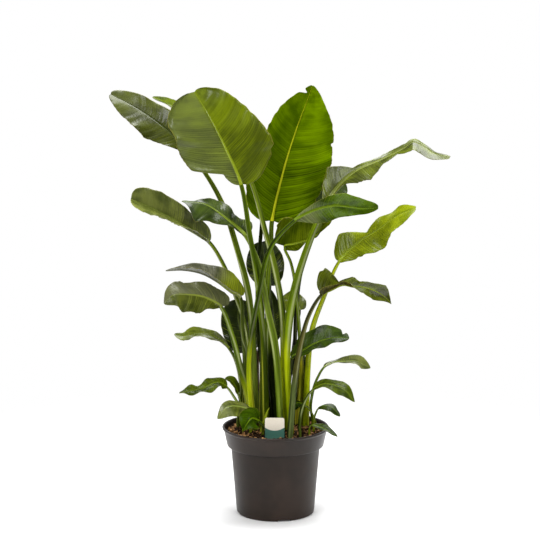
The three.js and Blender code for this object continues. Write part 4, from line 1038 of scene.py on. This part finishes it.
# ---- Young shoot and dry sheath ----------------------------------------------------------
def build_shoot():
    """A rolled young leaf: a round spear with the seam of its roll winding up it."""
    exit_point = np.array([*SHOOT["foot"], STEM_EXIT_Z], float)
    line = CentreLine([exit_point, *SHOOT["path"]])
    sides, count = 28, 46
    angles = np.arange(sides) * 2 * math.pi / sides
    points, across, lengths = [], [], []
    for i in range(-1, count + 1):
        share = max(0, i) / count
        centre = line.at(line.length * share) if i >= 0 else exit_point + [0, 0, STEM_FOOT_Z - STEM_EXIT_Z]
        axes = section_frame(line.direction(line.length * share, 2), np.array([0.0, -1.0, 0.0]))
        half = SHOOT["half"] * (1 - share**1.6) + SHOOT_TIP * share
        from_seam = np.mod(angles - SEAM_TURN * share, 2 * math.pi)
        seam = SHOOT_SEAM * np.exp(-((from_seam / SEAM_REACH) ** 2))
        x, y = half * (1 - seam) * np.cos(angles), half * (1 - seam) * np.sin(angles)
        points.append((centre + np.outer(x, axes["right"]) + np.outer(y, axes["up"]))[::-1])
        across.append(np.cos(angles)[::-1])
        lengths.append(np.full(sides, line.length * share))
    piece = add_object("young_shoot_spear", np.vstack(points), loft_faces(len(points), sides))
    set_attribute(piece, "across", across)
    set_attribute(piece, "vein", lengths)
    set_attribute(piece, "sheath", np.zeros_like(lengths))
    piece.data.materials.append(stalk_material("shoot", ("bright", "bright"), 3.1))
    finish_piece(piece, "young_shoot")


def husk_material():
    graph = material_graph("husk_fibre")
    across, length = graph.attribute("across"), graph.attribute("vein")
    grain = graph.noise(graph.vector(across * 9.0, length * 0.02), 1.0, 4.0)
    graph.set(Base_Color=graph.tones(graph.ramp(grain, 0.35, 0.65), HUSK_TONES), Roughness=0.85)
    graph.bump(grain, 0.8, 0.8)
    return graph.owner


def build_dry_sheath():
    """A papery husk: a bowed, ridged strip with a torn top."""
    columns, count = 22, 60
    across = np.linspace(-1, 1, columns)
    ragged = Wobble("husk")
    points, across_values, lengths = [], [], []
    top = np.array(DRY_SHEATH["top"], float)
    for i in range(-1, count + 1):
        share = max(0, i) / count
        base = np.array([*DRY_SHEATH["foot"], STEM_FOOT_Z if i < 0 else STEM_EXIT_Z], float)
        centre = base + (top - base) * share
        width = DRY_SHEATH["half"] * (1 - 0.6 * share**2) * (1 + 0.06 * ragged(9 * share))
        ridge = 0.35 * np.sin(11 * across + 2 * share)
        tear = 7 * smooth(share, 0.88, 1) * ragged(4 * across)
        bow = DRY_SHEATH["bow"] * across**2
        strip = centre + np.column_stack([width * across, bow + ridge, -np.abs(tear)])
        back = strip + [0, DRY_SHEATH["thickness"], 0]
        points.append(np.vstack([strip, back[::-1]]))
        across_values.append(np.concatenate([across, across[::-1]]))
        lengths.append(np.full(2 * columns, DRY_SHEATH["grain"] * share))
    piece = add_object("dry_sheath_husk", np.vstack(points), loft_faces(len(points), 2 * columns))
    set_attribute(piece, "across", across_values)
    set_attribute(piece, "vein", lengths)
    piece.data.materials.append(husk_material())
    finish_piece(piece, "dry_sheath")


# ---- Pot ---------------------------------------------------------------------------------
def pot_profile():
    """Radii and heights from the middle of the underside, out, up, over the rim and down to the floor."""
    return [
        (0, 0),
        (PAD_RADIUS, 0),
        (PAD_RADIUS + 2, RECESS),
        (FOOT_RING_RADIUS, RECESS),
        (FOOT_RING_RADIUS + 1.5, 0),
        (BODY_FOOT_RADIUS - 4, 0),
        (BODY_FOOT_RADIUS - 1, 1.2),
        (BODY_FOOT_RADIUS, 4),
        (BODY_TOP_RADIUS, COLLAR_Z),
        (COLLAR_RADIUS - 1, COLLAR_Z + 0.5),
        (COLLAR_RADIUS, COLLAR_Z + 2),
        (RIM_RADIUS - 3.5, POT_HEIGHT - 7),
        (RIM_RADIUS - 0.8, POT_HEIGHT - 5),
        (RIM_RADIUS, POT_HEIGHT - 2),
        (RIM_RADIUS - 1.2, POT_HEIGHT),
        (RIM_RADIUS - 4, POT_HEIGHT),
        (RIM_RADIUS - 5.5, POT_HEIGHT - 3),
        (COLLAR_RADIUS - WALL, COLLAR_Z + 3),
        (BODY_TOP_RADIUS - WALL, COLLAR_Z - 1.5),
        (BODY_FOOT_RADIUS - WALL, FLOOR_Z + 3),
        (BODY_FOOT_RADIUS - WALL - 3, FLOOR_Z),
        (0, FLOOR_Z),
    ]


def rounded(profile, size, steps):
    """Replaces each inner corner by a short curve that starts and ends size away from it, at most."""
    points = [np.array(point, float) for point in profile]
    result = [points[0]]
    for before, corner, after in zip(points, points[1:], points[2:]):
        back, ahead = before - corner, after - corner
        start = corner + back * min(size / np.linalg.norm(back), 0.45)
        end = corner + ahead * min(size / np.linalg.norm(ahead), 0.45)
        for step in range(steps + 1):
            t = step / steps
            result.append(start * (1 - t) ** 2 + 2 * corner * t * (1 - t) + end * t**2)
    return [*result, points[-1]]


def cut(piece, cutter):
    """Cuts one mesh out of another and removes the cutter."""
    modifier = piece.modifiers.new("cut", "BOOLEAN")
    modifier.operation = "DIFFERENCE"
    modifier.solver = "EXACT"
    modifier.object = cutter
    bpy.context.view_layer.update()
    shaped = bpy.data.meshes.new_from_object(piece.evaluated_get(bpy.context.evaluated_depsgraph_get()))
    piece.modifiers.clear()
    piece.data = shaped
    bpy.data.objects.remove(cutter)


def pot_cutter():
    """Drainage slots through the foot ring and drain holes through the floor, as one mesh."""
    made = bmesh.new()
    for i in range(SLOT_COUNT):
        turn = Matrix.Rotation(math.radians(SLOT_TURN + 360 / SLOT_COUNT * i), 4, "Z")
        place = turn @ Matrix.Translation((0, -(BODY_FOOT_RADIUS - 3) * MM, 0))
        size = Matrix.Diagonal((SLOT_WIDTH * MM, 30 * MM, 2 * SLOT_HEIGHT * MM, 1))
        bmesh.ops.create_cube(made, size=1, matrix=place @ size)
    for i in range(DRAIN_COUNT):
        turn = Matrix.Rotation(2 * math.pi * (i + 0.5) / DRAIN_COUNT, 4, "Z")
        place = turn @ Matrix.Translation((DRAIN_RING * MM, 0, 0))
        bmesh.ops.create_cone(made, cap_ends=True, segments=32, radius1=DRAIN_RADIUS * MM,
                              radius2=DRAIN_RADIUS * MM, depth=3 * FLOOR_Z * MM, matrix=place)
    mesh = bpy.data.meshes.new("pot_cutter")
    made.to_mesh(mesh)
    made.free()
    return link(bpy.data.objects.new("pot_cutter", mesh))


def pot_material():
    """Satin moulded plastic with a faint orange-peel skin, scuffs and a glossier collar."""
    graph = material_graph("pot_plastic")
    place = graph.place()
    collar = graph.ramp(graph.parts(place)[2], (COLLAR_Z - 1) * MM, (COLLAR_Z + 1) * MM)
    skin = graph.noise(place, 900.0)
    cloud = graph.noise(place, 9.0, 3.0, 0.6)
    scuff = graph.noise(place, 60.0, 5.0, 0.7)
    plastic = graph.tones(graph.ramp(cloud, 0.35, 0.65), POT_TONES)
    graph.set(
        Base_Color=graph.painted(plastic, [(graph.ramp(scuff, 0.62, 0.8, 0.0, 0.2), srgb(*POT_WEAR))]),
        Roughness=graph.ramp(cloud, 0.3, 0.7, 0.36, 0.46) + graph.ramp(scuff, 0.5, 0.8, 0.0, 0.1),
        IOR=1.3,
        Coat_Weight=collar * 0.14,
        Coat_Roughness=0.12,
    )
    graph.bump(skin + cloud * 3.0, 0.15, 0.5)
    return graph.owner


def build_pot():
    """The pot: a revolved wall with rounded corners, cut through for drainage."""
    profile = rounded(pot_profile(), EDGE_ROUNDING, 4)
    rings = [level_ring(radius, height, POT_SEGMENTS) for radius, height in profile[1:-1]]
    pot = add_rings("nursery_pot", profile[0][1], rings, profile[-1][1])
    cut(pot, pot_cutter())
    mesh = pot.data
    mesh.polygons.foreach_set("use_smooth", [True] * len(mesh.polygons))
    mesh.set_sharp_from_angle(angle=math.radians(35))
    mesh.materials.clear()
    mesh.materials.append(pot_material())
    finish_piece(pot, "pot")


# ---- Soil --------------------------------------------------------------------------------
def soil_height(x, y):
    share = np.minimum(1, np.hypot(x, y) / SOIL_RADIUS)
    crumbs = np.sin(0.43 * x + 1.3) * np.cos(0.39 * y) + np.sin(0.21 * x - 0.33 * y) * np.cos(0.3 * x)
    return SOIL_EDGE_Z + SOIL_MOUND * (1 - share**2) + 0.5 * CRUMB_HEIGHT * crumbs * (1 - share**6)


def soil_material():
    """Dark crumbly mix where tone is 0, light bark where it is 1."""
    graph = material_graph("potting_mix")
    place = graph.place()
    grain = graph.noise(place, 260.0, 4.0, 0.7)
    clods = graph.signal("ShaderNodeTexVoronoi", "Distance", {"Vector": place, "Scale": 220.0})
    dark = graph.tones(graph.ramp(grain, 0.35, 0.65), SOIL_TONES)
    light = graph.tones(graph.ramp(grain, 0.3, 0.7), CHIP_TONES)
    graph.set(Base_Color=graph.mix(graph.attribute("tone"), dark, light), Roughness=0.9, IOR=1.2)
    graph.bump(grain + clods, 1.2, 0.9)
    return graph.owner


def build_soil(material):
    """The mix in the pot: a mound with a crumbly top, down to the pot's floor."""
    crumble = [Wobble(f"soil{k}") for k in range(4)]
    wall = [
        (BODY_FOOT_RADIUS - WALL - 4, FLOOR_Z + GAP),
        (BODY_FOOT_RADIUS - WALL - GAP - 1, FLOOR_Z + 3 + GAP),
        (BODY_TOP_RADIUS - WALL - GAP - 1, COLLAR_Z - 1.7),
        (COLLAR_RADIUS - WALL - GAP - 1, COLLAR_Z + 3.2),
    ]
    rings = [level_ring(radius, height, SOIL_RAYS) for radius, height in wall]
    for k in range(SOIL_RINGS, 0, -1):
        ring = level_ring(SOIL_RADIUS * k / SOIL_RINGS, 0, SOIL_RAYS)
        x, y = ring[:, 0], ring[:, 1]
        coarse = crumble[0](x / 3.1) * crumble[1](y / 3.4)
        fine = crumble[2](x / 1.5 + y / 2.1) * crumble[3](y / 1.7)
        fade = min(1.0, (SOIL_RINGS - k) / 3)
        ring[:, 2] = soil_height(x, y) + SOIL_ROUGHNESS * fade * (coarse + 0.6 * fine) - 1.4
        rings.append(ring)
    piece = add_rings("soil_bed", FLOOR_Z + GAP, rings, soil_height(0, 0))
    set_attribute(piece, "tone", [np.zeros(len(piece.data.vertices))])
    piece.data.materials.append(material)
    finish_piece(piece, "soil")


CHIP_CORNERS = [(x, y, z) for z in (-1, 1) for x, y in ((-1, -1), (1, -1), (1, 1), (-1, 1))]
CHIP_FACES = ((0, 3, 2, 1), (4, 5, 6, 7), (0, 1, 5, 4), (1, 2, 6, 5), (2, 3, 7, 6), (3, 0, 4, 7))


def chip_points(draw, length):
    """The eight corners of one bark chip: an uneven flake about length long."""
    width, height = length * draw.uniform(0.4, 0.8), length * draw.uniform(0.16, 0.4)
    corners = []
    for x, y, z in CHIP_CORNERS:
        corners.append([
            x * length / 2 * draw.uniform(0.6, 1.1),
            y * width / 2 * draw.uniform(0.6, 1.1),
            z * height / 2 * draw.uniform(0.5, 1.2),
        ])
    return np.array(corners)


def build_chips(material):
    """Loose bark chips on the mix, turned every way, from crumbs to pieces a finger wide."""
    draw = random.Random(CHIP_SEED)
    shortest, longest = CHIP_LENGTHS
    points, faces, tones = [], [], []
    while len(points) < CHIP_COUNT:
        angle, radius = draw.uniform(0, 2 * math.pi), (SOIL_RADIUS - 3) * math.sqrt(draw.random())
        length = shortest + (longest - shortest) * draw.random() ** 2
        turn = Matrix.Rotation(draw.uniform(0, 2 * math.pi), 3, "Z")
        turn = turn @ Matrix.Rotation(draw.gauss(0, 0.45), 3, "X")
        turn = turn @ Matrix.Rotation(draw.gauss(0, 0.4), 3, "Y")
        if radius + length / 2 > SOIL_RADIUS - 1:
            continue
        x, y = radius * math.cos(angle), radius * math.sin(angle)
        centre = np.array([x, y, float(soil_height(x, y)) + 0.12 * length])
        start = 8 * len(points)
        points.append(chip_points(draw, length) @ np.array(turn).T + centre)
        faces.extend([tuple(start + corner for corner in face) for face in CHIP_FACES])
        light = draw.random() < LIGHT_CHIP_SHARE
        tones.append(np.full(8, draw.uniform(0.5, 1) if light else draw.uniform(0, 0.08)))
    piece = add_object("bark_chips", np.vstack(points), faces, smooth_faces=False)
    set_attribute(piece, "tone", tones)
    piece.data.materials.append(material)
    soften(piece, 0.5, 2)
    finish_piece(piece, None)


# ---- Plant tag ---------------------------------------------------------------------------
def tag_outline():
    half, stake = TAG_WIDTH / 2, TAG_STAKE_WIDTH / 2
    points = [(-stake, TAG_FOOT_Z + 10), (0, TAG_FOOT_Z), (stake, TAG_FOOT_Z + 10)]
    points += [(stake, TAG_SHOULDER_Z - 12), (half, TAG_SHOULDER_Z)]
    for centre, start in ((half - TAG_CORNER, 0), (TAG_CORNER - half, 90)):
        for step in range(9):
            angle = math.radians(start + 90 * step / 8)
            x = centre + TAG_CORNER * math.cos(angle)
            points.append((x, TAG_TOP_Z - TAG_CORNER * (1 - math.sin(angle))))
    return [*points, (-half, TAG_SHOULDER_Z), (-stake, TAG_SHOULDER_Z - 12)]


def tag_material():
    """Plain card-like plastic: cream above, and a plain green field with a curved top edge below."""
    graph = material_graph("tag_plastic")
    x, _, z = graph.parts(graph.place())
    offset = x - TAG_PLACE[0] * MM
    border = z - offset * offset * TAG_FIELD_CURVE
    field = graph.ramp(border, (TAG_FIELD_TOP_Z - 0.3) * MM, (TAG_FIELD_TOP_Z + 0.3) * MM, 1.0, 0.0)
    grain = graph.noise(graph.place(), 700.0)
    mottle = graph.ramp(grain, 0.3, 0.7)
    paint = graph.mix(field, graph.tones(mottle, TAG_CREAM), graph.tones(mottle, TAG_GREEN))
    graph.set(Base_Color=paint, Roughness=0.5)
    graph.bump(grain, 0.05, 0.4)
    return graph.owner


def build_tag():
    """A flat tag on a stake, with softened edges."""
    side = tag_outline()
    count = len(side)
    middle_x, middle_y = TAG_PLACE
    points = []
    for y in (middle_y - TAG_THICKNESS / 2, middle_y + TAG_THICKNESS / 2):
        points += [(middle_x + x, y, z) for x, z in side]
    faces = [tuple(range(count)), tuple(range(2 * count - 1, count - 1, -1))]
    faces += [(k, k + count, (k + 1) % count + count, (k + 1) % count) for k in range(count)]
    piece = add_object("plant_tag_plate", points, faces, smooth_faces=False)
    piece.data.materials.append(tag_material())
    soften(piece, 0.25, 3)
    finish_piece(piece, "plant_tag")


# ---- Scene -------------------------------------------------------------------------------
def aim(holder, place, target):
    """Puts a camera or a light at a place and turns it to a target, both in metres."""
    holder.location = place
    holder.rotation_euler = (Vector(target) - Vector(place)).to_track_quat("-Z", "Y").to_euler()


def build_camera():
    camera = bpy.data.cameras.new("camera")
    camera.lens = LENS
    camera.sensor_width = 36
    camera.clip_end = 200
    holder = link(bpy.data.objects.new("camera", camera))
    aim(holder, Vector(CAMERA_PLACE) * MM, Vector((CAMERA_PLACE[0], 0, CAMERA_TARGET_Z)) * MM)
    bpy.context.scene.camera = holder


def build_softboxes():
    for name, (place, target, size, power) in SOFTBOXES.items():
        light = bpy.data.lights.new(name, "AREA")
        light.shape = "RECTANGLE"
        light.size, light.size_y = size
        light.energy = power
        aim(link(bpy.data.objects.new(name, light)), place, target)


def build_world():
    """A surround that looks even and white, and lights the plant more from behind and above."""
    graph = Graph(bpy.data.worlds.new("studio"), "Background")
    _, behind, above = graph.parts(graph.signal("ShaderNodeTexCoord", "Generated", {}))
    rises = graph.ramp(behind, -0.2, 0.8, 0.0, LIGHT_BEHIND) + graph.ramp(above, 0.0, 0.9, 0.0, LIGHT_ABOVE)
    seen = graph.signal("ShaderNodeLightPath", "Is Camera Ray", {})
    graph.set(Color=(1, 1, 1, 1), Strength=(rises + LIGHT_AROUND).combined("MAXIMUM", seen))
    bpy.context.scene.world = graph.owner


def build_floor():
    """A round pale floor that fades into the white surround."""
    ring = level_ring(FLOOR_RADIUS, 0, 96)
    floor = add_object("floor", ring, [tuple(range(96))], smooth_faces=False)
    graph = material_graph("floor_paint")
    apart = graph.signal("ShaderNodeVectorMath", "Value", {0: graph.place()}, operation="LENGTH")
    graph.set(
        Base_Color=graph.mix(graph.noise(graph.place(), 3.0), *FLOOR_TONES),
        Roughness=0.8,
        Alpha=graph.ramp(apart, 0.3 * FLOOR_RADIUS * MM, 0.95 * FLOOR_RADIUS * MM, 1.0, 0.0),
    )
    floor.data.materials.append(graph.owner)


def main():
    build_camera()
    build_world()
    build_floor()
    build_softboxes()
    for index, leaf in enumerate(LEAVES):
        build_leaf(leaf, index)
    build_shoot()
    build_dry_sheath()
    build_pot()
    mix = soil_material()
    build_soil(mix)
    build_chips(mix)
    build_tag()
    bpy.context.scene.view_settings.view_transform = "Standard"


main()
